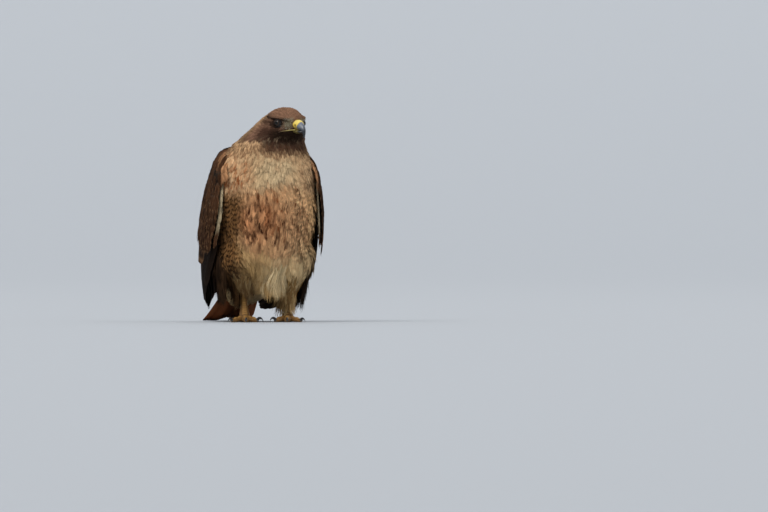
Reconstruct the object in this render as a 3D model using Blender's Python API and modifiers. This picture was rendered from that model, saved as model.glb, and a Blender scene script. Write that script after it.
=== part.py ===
# Red-tailed hawk, life size, standing upright with its wings let down along its sides,
# the head turned to its left and the tail laid back to the floor.
# Metres, +Z up. The bird faces -Y and its left side is +X. The floor is z = 0.

import math

import bmesh
import bpy
import numpy as np
from mathutils import Matrix, Vector

# Driving sizes of the bird
crown_height = 0.353
crown_over_eyes = 0.026
eye_radius = 0.0078

# Thin cuts part one piece from the next, and what reaches under the floor is trimmed off
gap = 0.00035
floor_cut = 0.0006

# The head stands ahead of the body, to its left, and turns and nods this much
head_place = Vector((0.0268, -0.062, crown_height - crown_over_eyes))
head_turn = math.radians(17)
head_nod = math.radians(4)

# Feet stand here under the body, right foot first
foot_x = {"right": -0.030, "left": 0.044}
foot_y = {"right": -0.001, "left": 0.003}
hip_x = {"right": -0.044, "left": 0.045}

# The soft body is evened out on a grid of this step, smoothed, and thinned to this share
body_grid = 0.0032
body_smoothing = 7
body_share = 0.056


def clear_scene():
    for thing in list(bpy.data.objects):
        bpy.data.objects.remove(thing)


clear_scene()
bird = bpy.data.collections.new("red_tailed_hawk")
workshop = bpy.data.collections.new("workshop")
for group in (bird, workshop):
    bpy.context.scene.collection.children.link(group)


# Materials

def finish(name, colour, roughness, metallic=0.0):
    made = bpy.data.materials.new(name)
    made.use_nodes = True
    shader = made.node_tree.nodes["Principled BSDF"]
    shader.inputs["Base Color"].default_value = (*colour, 1.0)
    shader.inputs["Roughness"].default_value = roughness
    shader.inputs["Metallic"].default_value = metallic
    made.diffuse_color = (*colour, 1.0)
    return made


head_brown = finish("head_feathers", (0.20, 0.10, 0.055), 0.85)
breast_buff = finish("breast_feathers", (0.42, 0.26, 0.14), 0.88)
leg_buff = finish("leg_feathers", (0.36, 0.25, 0.13), 0.88)
wing_brown = finish("wing_feathers", (0.085, 0.05, 0.032), 0.7)
tail_red = finish("tail_feathers", (0.36, 0.13, 0.045), 0.7)
horn_black = finish("horn", (0.03, 0.032, 0.038), 0.3)
cere_yellow = finish("cere", (0.72, 0.56, 0.12), 0.45)
skin_yellow = finish("leg_scales", (0.62, 0.36, 0.09), 0.5)
eye_dark = finish("eye", (0.03, 0.015, 0.008), 0.08)


# Tools for making solids

sideways = Vector((1, 0, 0))
backward = Vector((0, 1, 0))


def add_object(name, mesh):
    made = bpy.data.objects.new(name, mesh)
    workshop.objects.link(made)
    return made


def from_faces(name, points, faces):
    mesh = bpy.data.meshes.new(name)
    mesh.from_pydata([tuple(p) for p in points], [], faces)
    mesh.validate()
    shape = bmesh.new()
    shape.from_mesh(mesh)
    bmesh.ops.recalc_face_normals(shape, faces=shape.faces)
    shape.to_mesh(mesh)
    shape.free()
    return add_object(name, mesh)


def bake(thing):
    """The object's modifiers become its mesh."""
    bpy.context.view_layer.update()
    graph = bpy.context.evaluated_depsgraph_get()
    mesh = bpy.data.meshes.new_from_object(thing.evaluated_get(graph))
    thing.modifiers.clear()
    thing.data = mesh
    return thing


def loft(name, rings):
    """A closed skin over rings that hold the same count of points, with flat ends."""
    count = len(rings[0])
    points = [p for ring in rings for p in ring]
    faces = [list(range(count)), list(range(len(points) - count, len(points)))]
    for row in range(len(rings) - 1):
        for k in range(count):
            a = row * count + k
            b = row * count + (k + 1) % count
            faces.append([a, b, b + count, a + count])
    return from_faces(name, points, faces)


def boolean(thing, other, operation):
    cut = thing.modifiers.new("join", "BOOLEAN")
    cut.operation = operation
    cut.solver = "EXACT"
    cut.object = other
    bake(thing)
    bpy.data.objects.remove(other)
    return thing


def unite(name, things):
    """One body from many closed ones."""
    base, rest = things[0], things[1:]
    base.name = name
    if rest:
        pile = bpy.data.collections.new("pile")
        bpy.context.scene.collection.children.link(pile)
        for thing in rest:
            workshop.objects.unlink(thing)
            pile.objects.link(thing)
        join = base.modifiers.new("join", "BOOLEAN")
        join.operation = "UNION"
        join.solver = "EXACT"
        join.operand_type = "COLLECTION"
        join.collection = pile
        bake(base)
        for thing in rest:
            bpy.data.objects.remove(thing)
        bpy.data.collections.remove(pile)
    return keep_largest(base)


def keep_largest(thing):
    """Drops every surface but the one with the most area."""
    shape = bmesh.new()
    shape.from_mesh(thing.data)
    unseen = set(shape.verts)
    best, best_area = None, -1.0
    while unseen:
        waiting = [unseen.pop()]
        island = set(waiting)
        while waiting:
            for edge in waiting.pop().link_edges:
                for vert in edge.verts:
                    if vert in unseen:
                        unseen.discard(vert)
                        island.add(vert)
                        waiting.append(vert)
        faces = {f for v in island for f in v.link_faces}
        area = sum(f.calc_area() for f in faces)
        if area > best_area:
            best, best_area = island, area
    loose = [v for v in shape.verts if v not in best]
    bmesh.ops.delete(shape, geom=loose, context="VERTS")
    shape.to_mesh(thing.data)
    shape.free()
    return thing


def inflated(thing, amount):
    """A copy whose surface stands out by this much, for cutting a neighbour clear of it."""
    grown = add_object("grown", thing.data.copy())
    grown.matrix_world = thing.matrix_world.copy()
    swell = grown.modifiers.new("swell", "DISPLACE")
    swell.strength = amount
    swell.mid_level = 0.0
    return bake(grown)


def copied(thing, name):
    return add_object(name, thing.data.copy())


def halve(thing, point, normal):
    """Keeps what lies on the side that the normal points to, and closes the cut."""
    shape = bmesh.new()
    shape.from_mesh(thing.data)
    parts = shape.verts[:] + shape.edges[:] + shape.faces[:]
    cut = bmesh.ops.bisect_plane(
        shape, geom=parts, dist=1e-6, plane_co=point, plane_no=normal, clear_inner=True
    )
    rim = [e for e in cut["geom_cut"] if isinstance(e, bmesh.types.BMEdge)]
    bmesh.ops.holes_fill(shape, edges=rim, sides=0)
    bmesh.ops.triangulate(shape, faces=[f for f in shape.faces if len(f.verts) > 4])
    bmesh.ops.recalc_face_normals(shape, faces=shape.faces)
    shape.to_mesh(thing.data)
    shape.free()
    return thing


def settle_on_floor(thing):
    """Trims whatever reaches under the floor, which leaves small flats to stand on."""
    return halve(thing, (0, 0, 0), (0, 0, 1))


def node(thing, name, material, smooth_angle=40):
    thing.name = name
    thing.data.name = name
    workshop.objects.unlink(thing)
    bird.objects.link(thing)
    thing.data.materials.clear()
    thing.data.materials.append(material)
    thing.data.shade_smooth()
    thing.data.set_sharp_from_angle(angle=math.radians(smooth_angle))
    return thing


# Curves through a few chosen points

def curve_at(points, s):
    """A smooth curve through the points, read at s from 0 to 1."""
    table = np.asarray(points, float)
    last = len(table) - 1
    x = min(max(s, 0.0), 1.0) * last
    k = min(int(x), last - 1)
    t = x - k
    p1, p2 = table[k], table[k + 1]
    p0 = table[k - 1] if k > 0 else 2 * p1 - p2
    p3 = table[k + 2] if k + 2 <= last else 2 * p2 - p1
    return 0.5 * (
        2 * p1
        + (p2 - p0) * t
        + (2 * p0 - 5 * p1 + 4 * p2 - p3) * t ** 2
        + (3 * p1 - p0 - 3 * p2 + p3) * t ** 3
    )


def oval(centre, across, up, half_width, half_height, count, squareness=2.0):
    """Points round an oval, fuller at its corners as squareness grows."""
    ring = []
    for k in range(count):
        angle = 2 * math.pi * k / count
        c, s = math.cos(angle), math.sin(angle)
        power = 2.0 / squareness
        x = math.copysign(abs(c) ** power, c) * half_width
        y = math.copysign(abs(s) ** power, s) * half_height
        ring.append(centre + across * x + up * y)
    return ring


def limb(name, points, radii, roundness):
    """A round limb along a path, with a radius at every point, as a closed mesh."""
    curve = bpy.data.curves.new(name, "CURVE")
    curve.dimensions = "3D"
    curve.bevel_depth = 1.0
    curve.bevel_resolution = roundness
    curve.use_fill_caps = True
    spline = curve.splines.new("POLY")
    spline.points.add(len(points) - 1)
    for spot, place, radius in zip(spline.points, points, radii):
        spot.co = (*place, 1.0)
        spot.radius = radius
    guide = add_object(name, curve)
    bpy.context.view_layer.update()
    graph = bpy.context.evaluated_depsgraph_get()
    mesh = bpy.data.meshes.new_from_object(guide.evaluated_get(graph))
    bpy.data.objects.remove(guide)
    shape = bmesh.new()
    shape.from_mesh(mesh)
    bmesh.ops.remove_doubles(shape, verts=shape.verts, dist=1e-6)
    bmesh.ops.recalc_face_normals(shape, faces=shape.faces)
    shape.to_mesh(mesh)
    shape.free()
    return add_object(name, mesh)


def blade(name, left, right, thickness):
    """A thin vane between two edge lines, with a thickness at each station.
    Each edge point comes with its outward direction. Both faces split alike."""
    points, faces = [], []
    for (a, up_a), (b, up_b), t in zip(left, right, thickness):
        points += [a + up_a * t / 2, b + up_b * t / 2, b - up_b * t / 2, a - up_a * t / 2]
    last = len(left) - 1
    for k in range(last):
        i, j = 4 * k, 4 * k + 4
        faces += [(i, i + 1, j + 1), (i, j + 1, j)]
        faces += [(i + 3, j + 2, i + 2), (i + 3, j + 3, j + 2)]
        faces += [(i + 1, i + 2, j + 2), (i + 1, j + 2, j + 1)]
        faces += [(i, j, j + 3), (i, j + 3, i + 3)]
    e = 4 * last
    faces += [(0, 2, 1), (0, 3, 2), (e, e + 1, e + 2), (e, e + 2, e + 3)]
    return from_faces(name, points, faces)


# The body's outline: height, back, front, half width and sideways shift of each level section
body_levels = [
    (0.046, 0.020, -0.010, 0.014, 0.004),
    (0.056, 0.052, -0.026, 0.030, 0.003),
    (0.074, 0.074, -0.046, 0.047, 0.001),
    (0.098, 0.084, -0.060, 0.062, 0.000),
    (0.130, 0.086, -0.072, 0.076, 0.000),
    (0.165, 0.080, -0.080, 0.084, 0.000),
    (0.200, 0.070, -0.086, 0.087, 0.000),
    (0.232, 0.058, -0.087, 0.086, 0.000),
    (0.258, 0.044, -0.085, 0.081, 0.000),
    (0.278, 0.030, -0.082, 0.071, 0.001),
    (0.294, 0.018, -0.081, 0.060, 0.005),
    (0.308, 0.008, -0.083, 0.050, 0.012),
    (0.322, 0.001, -0.082, 0.042, 0.019),
    (0.334, -0.006, -0.078, 0.034, 0.023),
    (0.344, -0.018, -0.070, 0.022, 0.025),
]

# The head, front to back from its middle: place, half width, height above and below the eyes
head_levels = [
    (-0.042, 0.013, 0.007, 0.014),
    (-0.036, 0.021, 0.015, 0.022),
    (-0.024, 0.0275, 0.0225, 0.030),
    (-0.010, 0.0298, 0.0258, 0.034),
    (0.003, 0.0288, 0.0262, 0.034),
    (0.014, 0.0246, 0.0240, 0.031),
    (0.023, 0.0194, 0.0195, 0.0265),
    (0.030, 0.0140, 0.0148, 0.0215),
    (0.0345, 0.0105, 0.0105, 0.0165),
]

# The rump, from inside the back to the root of the tail: back, height, half width, half depth
rump_up = Vector((0, 0.53, 0.85))
rump_levels = [
    (0.024, 0.112, 0.058, 0.036),
    (0.054, 0.102, 0.056, 0.034),
    (0.082, 0.089, 0.050, 0.027),
    (0.108, 0.075, 0.038, 0.018),
    (0.130, 0.063, 0.025, 0.011),
]


def head_point(ahead, side, up):
    """A place in the head's own frame: ahead along the bill, to the bird's left, and up."""
    spin = Matrix.Rotation(head_turn, 3, "Z") @ Matrix.Rotation(head_nod, 3, "X")
    return head_place + spin @ Vector((side, -ahead, up))


def head_direction(ahead, side, up):
    return (head_point(ahead, side, up) - head_point(0, 0, 0)).normalized()


def make_body():
    """Trunk, neck, head and rump as one soft form, before it is parted."""
    rings = []
    for height, back, front, half, shift in body_levels:
        centre = Vector((shift, (back + front) / 2, height))
        depth = (back - front) / 2
        rings.append(oval(centre, sideways, backward, half, depth, 28, 2.15))
    trunk = loft("trunk", rings)

    rings = []
    for ahead, half, above, below in head_levels:
        middle = head_point(ahead, 0, (above - below) / 2)
        side = head_direction(0, 1, 0)
        up = head_direction(0, 0, 1)
        rings.append(oval(middle, side, up, half, (above + below) / 2, 24, 2.25))
    skull = loft("skull", rings)

    rings = []
    for back, height, half, depth in rump_levels:
        rings.append(oval(Vector((0, back, height)), sideways, rump_up, half, depth, 20))
    rump = loft("rump", rings)

    thighs = [make_thigh(side_name, 0.0) for side_name in ("right", "left")]
    body = unite("body", [trunk, skull, rump] + thighs)
    grid = body.modifiers.new("even", "REMESH")
    grid.mode = "VOXEL"
    grid.voxel_size = body_grid
    soften = body.modifiers.new("soften", "SMOOTH")
    soften.factor = 0.5
    soften.iterations = body_smoothing
    thin = body.modifiers.new("thin", "DECIMATE")
    thin.ratio = body_share
    return bake(body)


def throat_cut():
    return Vector((0.02, -0.090, 0.2965)), Vector((0, -0.235, 0.972))


def shoulder_cut():
    return Vector((0, -0.080, 0.262)), Vector((0, -0.16, 0.987))


def ball(name, centre, radius, wide=20, high=12, scale=(1, 1, 1), turn=None):
    shape = bmesh.new()
    bmesh.ops.create_uvsphere(shape, u_segments=wide, v_segments=high, radius=radius)
    mesh = bpy.data.meshes.new(name)
    place = Matrix.Translation(centre) @ (turn or Matrix.Identity(4))
    shape.transform(place @ Matrix.Diagonal((*scale, 1)))
    shape.to_mesh(mesh)
    shape.free()
    return add_object(name, mesh)


def facing(direction):
    """A rotation that takes +Z to this direction."""
    return direction.to_track_quat("Z", "Y").to_matrix().to_4x4()


# Eyes, lids and brows, in the head's frame
eye_ahead = 0.0092
eye_side = 0.0214
eye_up = 0.0005
eye_look = (0.42, 0.90, 0.04)
lid_offset = 0.0042
lid_thickness = 0.0013


def eye_centre(side):
    return head_point(eye_ahead, eye_side * side, eye_up)


def lid_ring(side):
    """The rim of the lids, a ring that the eyeball looks out of."""
    look = head_direction(eye_look[0], eye_look[1] * side, eye_look[2])
    middle = eye_centre(side) + look * lid_offset
    reach = math.sqrt(eye_radius ** 2 - lid_offset ** 2) + 0.0004
    bpy.ops.mesh.primitive_torus_add(
        major_segments=16, minor_segments=5, major_radius=reach, minor_radius=lid_thickness
    )
    rim = bpy.context.object
    rim.data.transform(Matrix.Translation(middle) @ facing(look))
    for home in list(rim.users_collection):
        home.objects.unlink(rim)
    workshop.objects.link(rim)
    return rim


def brow(side):
    """The bony shelf over the eye, from above the lores to behind the eye."""
    stations = [
        (0.0290, 0.0110, 0.0070, 0.0018, 0.0014),
        (0.0230, 0.0168, 0.0086, 0.0034, 0.0022),
        (0.0135, 0.0224, 0.0100, 0.0050, 0.0027),
        (0.0030, 0.0250, 0.0112, 0.0050, 0.0028),
        (-0.0080, 0.0256, 0.0120, 0.0030, 0.0020),
    ]
    up = head_direction(0, 0, 1)
    out = head_direction(0, side, 0)
    rings = [
        oval(head_point(a, s * side, h), out, up, wide, high, 8)
        for a, s, h, wide, high in stations
    ]
    return loft("brow", rings)


def mouth_groove(side):
    """The line of the mouth, cut back from the bill to below the eye."""
    stations = [(0.037, 0.0040, -0.0072), (0.027, 0.0180, -0.0096), (0.0135, 0.0262, -0.0128)]
    up = head_direction(0, 0, 1)
    out = head_direction(0, side, 0)
    rings = []
    for ahead, across, height in stations:
        middle = head_point(ahead, across * side, height)
        corners = [(-0.004, -0.0005), (0.006, -0.0005), (0.006, 0.0005), (-0.004, 0.0005)]
        rings.append([middle + out * x + up * y for x, y in corners])
    return loft("mouth", rings)


# The bill: place ahead, upper line, lower line and half width of each section
bill_levels = [
    (0.0335, 0.0090, -0.0070, 0.0092),
    (0.0380, 0.0086, -0.0078, 0.0088),
    (0.0425, 0.0074, -0.0082, 0.0078),
    (0.0470, 0.0046, -0.0088, 0.0064),
    (0.0512, 0.0000, -0.0104, 0.0049),
    (0.0544, -0.0064, -0.0138, 0.0036),
    (0.0558, -0.0134, -0.0178, 0.0023),
    (0.0553, -0.0200, -0.0218, 0.0009),
]
bill_lean = 0.6
cere_end = 0.0428
lower_bill_levels = [
    (0.0330, -0.0088, -0.0150, 0.0078),
    (0.0390, -0.0093, -0.0152, 0.0068),
    (0.0440, -0.0098, -0.0148, 0.0052),
    (0.0480, -0.0106, -0.0138, 0.0034),
    (0.0500, -0.0116, -0.0130, 0.0018),
]


def bill_loft(name, levels):
    side = head_direction(0, 1, 0)
    rings = []
    for k, (ahead, top, bottom, half) in enumerate(levels):
        before = levels[max(k - 1, 0)]
        after = levels[min(k + 1, len(levels) - 1)]
        run = after[0] - before[0]
        fall = (after[1] + after[2] - before[1] - before[2]) / 2
        lean = math.atan2(fall, run)
        tall = (top - bottom) / 2
        middle = head_point(ahead, 0, (top + bottom) / 2)
        up = head_direction(-math.sin(lean) * bill_lean, 0, math.cos(lean * bill_lean))
        rings.append(oval(middle, side, up, half, tall, 12))
    return loft(name, rings)


def nostril(side):
    place = head_point(0.0392, 0.0084 * side, -0.0014)
    out = head_direction(0.1, side, 0.1)
    return ball("nostril", place, 0.0015, 10, 6, (1.0, 1.25, 1.4), facing(out))


def make_head(body):
    """Head, neck and trunk parted from the whole by thin cuts, then eyes, lids and bill."""
    throat, throat_up = throat_cut()
    shoulder, shoulder_up = shoulder_cut()
    head = halve(copied(body, "head"), throat + throat_up * gap / 2, throat_up)
    neck = halve(copied(body, "neck"), throat - throat_up * gap / 2, -throat_up)
    neck = halve(neck, shoulder + shoulder_up * gap / 2, shoulder_up)
    torso = halve(copied(body, "torso"), shoulder - shoulder_up * gap / 2, -shoulder_up)

    eyes = {}
    extras = []
    for side_name, side in (("left", 1), ("right", -1)):
        look = head_direction(eye_look[0], eye_look[1] * side, eye_look[2])
        eyes[side_name] = ball(
            "eye", eye_centre(side), eye_radius, 14, 9, turn=facing(look)
        )
        extras += [lid_ring(side), brow(side)]
    head = unite("head", [head] + extras)
    for side_name, side in (("left", 1), ("right", -1)):
        head = boolean(head, mouth_groove(side), "DIFFERENCE")
        socket = ball("socket", eye_centre(side), eye_radius + 2 * gap, 14, 9)
        head = boolean(head, socket, "DIFFERENCE")
    keep_largest(head)

    upper = bill_loft("beak", bill_levels)
    cut_place = head_point(cere_end, 0, 0)
    cut_ahead = head_direction(1, 0, 0.12)
    cere = halve(copied(upper, "cere"), cut_place - cut_ahead * gap / 2, -cut_ahead)
    upper = halve(upper, cut_place + cut_ahead * gap / 2, cut_ahead)
    for side in (1, -1):
        cere = boolean(cere, nostril(side), "DIFFERENCE")
    lower = bill_loft("lower", lower_bill_levels)
    for piece in (cere, lower):
        boolean(piece, inflated(head, gap), "DIFFERENCE")
        keep_largest(piece)

    node(head, "head", head_brown)
    node(neck, "neck", head_brown)
    node(cere, "cere", cere_yellow)
    node(upper, "beak_upper", horn_black)
    node(lower, "beak_lower", horn_black)
    for side_name in eyes:
        node(eyes[side_name], f"eye_{side_name}", eye_dark)
    return torso


# The folded wing lies between two rails: its leading edge, low and in front, and its
# trailing edge, up on the back. The left wing is given, the right is its mirror.
leading_rail = [
    (0.060, -0.036, 0.278),
    (0.077, -0.045, 0.254),
    (0.082, -0.049, 0.215),
    (0.087, -0.042, 0.172),
    (0.092, -0.023, 0.130),
    (0.094, 0.009, 0.090),
    (0.089, 0.049, 0.055),
    (0.077, 0.098, 0.030),
    (0.061, 0.149, 0.017),
    (0.049, 0.189, 0.011),
]
trailing_rail = [
    (0.048, -0.002, 0.290),
    (0.055, 0.027, 0.277),
    (0.042, 0.056, 0.241),
    (0.028, 0.078, 0.204),
    (0.018, 0.094, 0.169),
    (0.014, 0.112, 0.138),
    (0.016, 0.136, 0.106),
    (0.024, 0.161, 0.077),
    (0.033, 0.182, 0.054),
    (0.040, 0.200, 0.036),
]
wing_bulge = [0.006, 0.020, 0.029, 0.035, 0.037, 0.035, 0.027, 0.014, 0.005, 0.002]
wing_outside = Vector((1.0, 0.3, 0.3))


def wing_spot(along, across):
    """A place on the folded wing's face: along from shoulder to tip, across from the
    leading to the trailing edge, both 0 to 1."""
    a = Vector(curve_at(leading_rail, along))
    b = Vector(curve_at(trailing_rail, along))
    ahead = min(along + 0.01, 1.0)
    behind = ahead - 0.02
    run = Vector(curve_at(leading_rail, ahead)) + Vector(curve_at(trailing_rail, ahead))
    run -= Vector(curve_at(leading_rail, behind)) + Vector(curve_at(trailing_rail, behind))
    out = (b - a).cross(run).normalized()
    if out.x < 0:
        out = -out
    bulge = float(curve_at([[w] for w in wing_bulge], along)[0])
    return a.lerp(b, across) + out * bulge * 4 * across * (1 - across)


def wing_frame(along, across):
    """Place, outward direction, and the surface's run down the wing and across it."""
    step = 0.01
    place = wing_spot(along, across)
    low, high = max(along - step, 0.0), min(along + step, 1.0)
    down = (wing_spot(high, across) - wing_spot(low, across)) / (high - low)
    over = (wing_spot(along, across + step) - wing_spot(along, across - step)) / (2 * step)
    out = over.cross(down).normalized()
    if out.dot(wing_outside) < 0:
        out = -out
    return place, out, down, over


vane_thickness = 0.0006


def wing_vane(root, tip, half_width, lift, tilt, sink, stations,
              point=0.3, bow=0.0, root_share=0.22):
    """One feather of the wing, from its root inside the arm to its free tip.
    Its leading edge stands out by the tilt, over the feather before it."""
    left, right, thick = [], [], []
    for k in range(stations):
        s = k / (stations - 1)
        along = root[0] + (tip[0] - root[0]) * s
        across = root[1] + (tip[1] - root[1]) * s + bow * math.sin(math.pi * s)
        place, out, down, over = wing_frame(along, across)
        path = (down * (tip[0] - root[0]) + over * (tip[1] - root[1])).normalized()
        side = path.cross(out).normalized()
        if side.dot(over) < 0:
            side = -side
        narrow = min(1.0, root_share + 2.4 * s)
        end = 1.0 if s < 0.72 else math.sqrt(max(0.0, 1 - ((s - 0.72) / 0.285) ** 2))
        half = half_width * narrow * max(end, point)
        height = lift - sink * max(0.0, 1 - s / 0.22)
        slope = tilt * half / half_width
        left.append((place - side * half + out * (height + slope), out))
        right.append((place + side * half + out * (height - slope), out))
        thick.append(vane_thickness if s < 0.95 else vane_thickness * 0.75)
    return blade("vane", left, right, thick)


def wing_core():
    """The arm and hand under the coverts, a lens that thins out towards the vanes."""
    levels = [
        (0.010, 0.20, 0.80, 0.0060),
        (0.050, 0.08, 0.90, 0.0125),
        (0.120, 0.04, 0.94, 0.0150),
        (0.200, 0.05, 0.93, 0.0135),
        (0.280, 0.07, 0.90, 0.0100),
        (0.350, 0.10, 0.86, 0.0062),
        (0.400, 0.14, 0.80, 0.0035),
    ]
    count = 9
    rings = []
    for along, first, last, depth in levels:
        outer, inner = [], []
        for k in range(count):
            share = k / (count - 1)
            across = first + (last - first) * share
            place, out = wing_frame(along, across)[:2]
            round_off = math.sin(math.pi * (0.06 + 0.88 * share)) ** 0.5
            outer.append(place - out * (0.0012 + depth * 0.30 * (1 - round_off)))
            inner.append(place - out * (0.0012 + depth * (0.30 + 0.70 * round_off)))
        rings.append(outer + inner[::-1])
    return loft("core", rings)


# Primaries, outermost first: where each tip lies along and across the wing
primary_tips = [
    (0.735, 0.10),
    (0.850, 0.18),
    (0.945, 0.30),
    (0.995, 0.50),
    (0.965, 0.72),
    (0.900, 0.86),
]
primary = dict(lift=-0.0030, tilt=0.0016, sink=0.0045, stations=7, bow=-0.03)

# The tiers above them. The first and last feather of each give root across, tip along
# and tip across, and those between are spread evenly.
wing_tiers = {
    "secondaries": dict(
        count=7, root_along=0.26, first=(0.28, 0.575, 0.18), last=(0.74, 0.66, 0.80),
        vane=dict(half_width=0.0128, lift=0.0008, tilt=0.0016, sink=0.0050, stations=6, point=0.45),
    ),
    "tertials": dict(
        count=3, root_along=0.22, first=(0.74, 0.615, 0.86), last=(0.88, 0.50, 0.965),
        vane=dict(half_width=0.0135, lift=0.0046, tilt=0.0014, sink=0.0060, stations=5, point=0.5),
    ),
    "primary coverts": dict(
        count=3, root_along=0.20, first=(0.07, 0.455, 0.04), last=(0.16, 0.42, 0.155),
        vane=dict(half_width=0.0080, lift=0.0036, tilt=0.0012, sink=0.0105, stations=5),
    ),
    "alula": dict(
        count=3, root_along=0.10, first=(0.05, 0.325, 0.02), last=(0.14, 0.27, 0.12),
        vane=dict(half_width=0.0072, lift=0.0062, tilt=0.0010, sink=0.0130, stations=4),
    ),
    "greater coverts": dict(
        count=7, root_along=0.22, first=(0.25, 0.385, 0.24), last=(0.88, 0.43, 0.90),
        vane=dict(half_width=0.0108, lift=0.0044, tilt=0.0014, sink=0.0085, stations=4, point=0.5),
    ),
    "median coverts": dict(
        count=7, root_along=0.13, first=(0.20, 0.275, 0.19), last=(0.88, 0.315, 0.90),
        vane=dict(half_width=0.0104, lift=0.0076, tilt=0.0012, sink=0.0105, stations=4,
                  point=0.5, root_share=0.6),
    ),
}


def wing_feathers():
    """All vanes of the left wing, tier by tier."""
    made = []
    for k, tip in enumerate(primary_tips):
        root = (0.27, 0.10 + 0.055 * k)
        made.append(wing_vane(root, tip, half_width=0.0088 + 0.0006 * k, **primary))
    for tier in wing_tiers.values():
        first, last = Vector(tier["first"]), Vector(tier["last"])
        for k in range(tier["count"]):
            root_across, tip_along, tip_across = first.lerp(last, k / (tier["count"] - 1))
            root = (tier["root_along"], root_across)
            made.append(wing_vane(root, (tip_along, tip_across), **tier["vane"]))
    return made


def mirror_across(thing, name):
    shape = bmesh.new()
    shape.from_mesh(thing.data)
    bmesh.ops.scale(shape, vec=(-1, 1, 1), verts=shape.verts)
    bmesh.ops.reverse_faces(shape, faces=shape.faces)
    mesh = bpy.data.meshes.new(name)
    shape.to_mesh(mesh)
    shape.free()
    return add_object(name, mesh)


# Tail: root and tip of its axis, and the flats where it meets the floor
tail_rail = [
    (0.0, 0.082, 0.0880),
    (0.0, 0.120, 0.0690),
    (0.0, 0.165, 0.0455),
    (0.0, 0.205, 0.0255),
    (0.0, 0.240, 0.0101),
    (0.0, 0.266, 0.0041),
]
tail_pairs = 6
tail_step = 0.012


def tail_frame(s):
    """A place on the tail's axis and the upward direction of its face there."""
    here = Vector(curve_at(tail_rail, s))
    ahead = Vector(curve_at(tail_rail, min(s + 0.01, 1.0)))
    behind = Vector(curve_at(tail_rail, max(s - 0.01, 0.0)))
    run = (ahead - behind).normalized()
    up = sideways.cross(run).normalized()
    return here, up if up.z > 0 else -up


def tail_vane(rank, side):
    """One tail feather. Rank 0 lies in the middle on top, the last is the outermost below."""
    left, right, thick = [], [], []
    stations = 7
    spread_root = 0.0022 * (rank + 0.5)
    spread_tip = 0.0058 * (rank + 0.5)
    drop = 0.00095 * (rank * 2 + (1 if side < 0 else 0))
    for k in range(stations):
        s = k / (stations - 1)
        place, up = tail_frame(s * (1 - tail_step * rank))
        offset = side * (spread_root + (spread_tip - spread_root) * s ** 0.9)
        end = 1.0 if s < 0.78 else math.sqrt(max(0.0, 1 - ((s - 0.78) / 0.24) ** 2))
        half = 0.0125 * min(1.0, 0.35 + 1.1 * s) * max(end, 0.5)
        height = 0.0050 - drop * min(1.0, 0.15 + 2.2 * s)
        tilt = 0.0004 * side * min(1.0, 3 * s)
        left.append((place + sideways * (offset - half) + up * (height + tilt), up))
        right.append((place + sideways * (offset + half) + up * (height - tilt), up))
        thick.append(0.00075)
    return blade("rectrix", left, right, thick)


def tail_base():
    """The fleshy root of the tail with its coverts, above and below the vanes."""
    levels = [
        (0.02, 0.0170, 0.0125),
        (0.12, 0.0170, 0.0105),
        (0.24, 0.0145, 0.0075),
        (0.36, 0.0100, 0.0035),
    ]
    rings = []
    for s, half, deep in levels:
        place, up = tail_frame(s)
        rings.append(oval(place - up * 0.001, sideways, up, half, deep, 14))
    return loft("base", rings)


undertail_up = Vector((0, 0.45, 0.89))


def undertail_coverts():
    """Soft long feathers that run from the vent along the underside of the tail."""
    levels = [
        (0.030, 0.062, 0.040, 0.014),
        (0.060, 0.057, 0.044, 0.017),
        (0.090, 0.051, 0.040, 0.015),
        (0.118, 0.042, 0.030, 0.0110),
        (0.144, 0.0325, 0.017, 0.0060),
        (0.162, 0.0260, 0.006, 0.0018),
    ]
    rings = []
    for back, height, half, deep in levels:
        rings.append(oval(Vector((0, back, height)), sideways, undertail_up, half, deep, 14))
    return loft("undertail", rings)


# Legs: the feathered thigh, the bare shank and the toes
thigh_end = {"right": 0.047, "left": 0.030}
thigh_room = 0.005


def make_thigh(side_name, spare):
    """The feathered thigh; with something to spare it is the region that parts it from the body."""
    x, y, hip = foot_x[side_name], foot_y[side_name], hip_x[side_name]
    end = thigh_end[side_name] - spare
    stations = [
        ((hip * 0.92, 0.000, 0.142 - spare), (0.026, 0.036)),
        ((hip, -0.008, 0.122), (0.033, 0.043)),
        ((hip * 1.04, -0.014, 0.100), (0.033, 0.043)),
        ((hip + (x - hip) * 0.25, -0.014, 0.080), (0.0275, 0.036)),
        ((hip + (x - hip) * 0.60, -0.004, 0.063), (0.0205, 0.0260)),
        ((x, y + 0.007, end + 0.009), (0.0125, 0.0145)),
        ((x, y + 0.006, end), (0.0090, 0.0100)),
    ]
    rings = []
    for place, (wide, deep) in stations:
        middle = Vector(place) + Vector((spare * (1 if x > 0 else -1), 0, 0))
        rings.append(oval(middle, sideways, backward, wide + spare, deep + spare, 18))
    return loft("thigh", rings)


lock_count = 10
lock_root_height = 0.080
lock_length = {"right": 0.041, "left": 0.055}
lock_half_width = 0.0090
lock_stand = 0.0006


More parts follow.
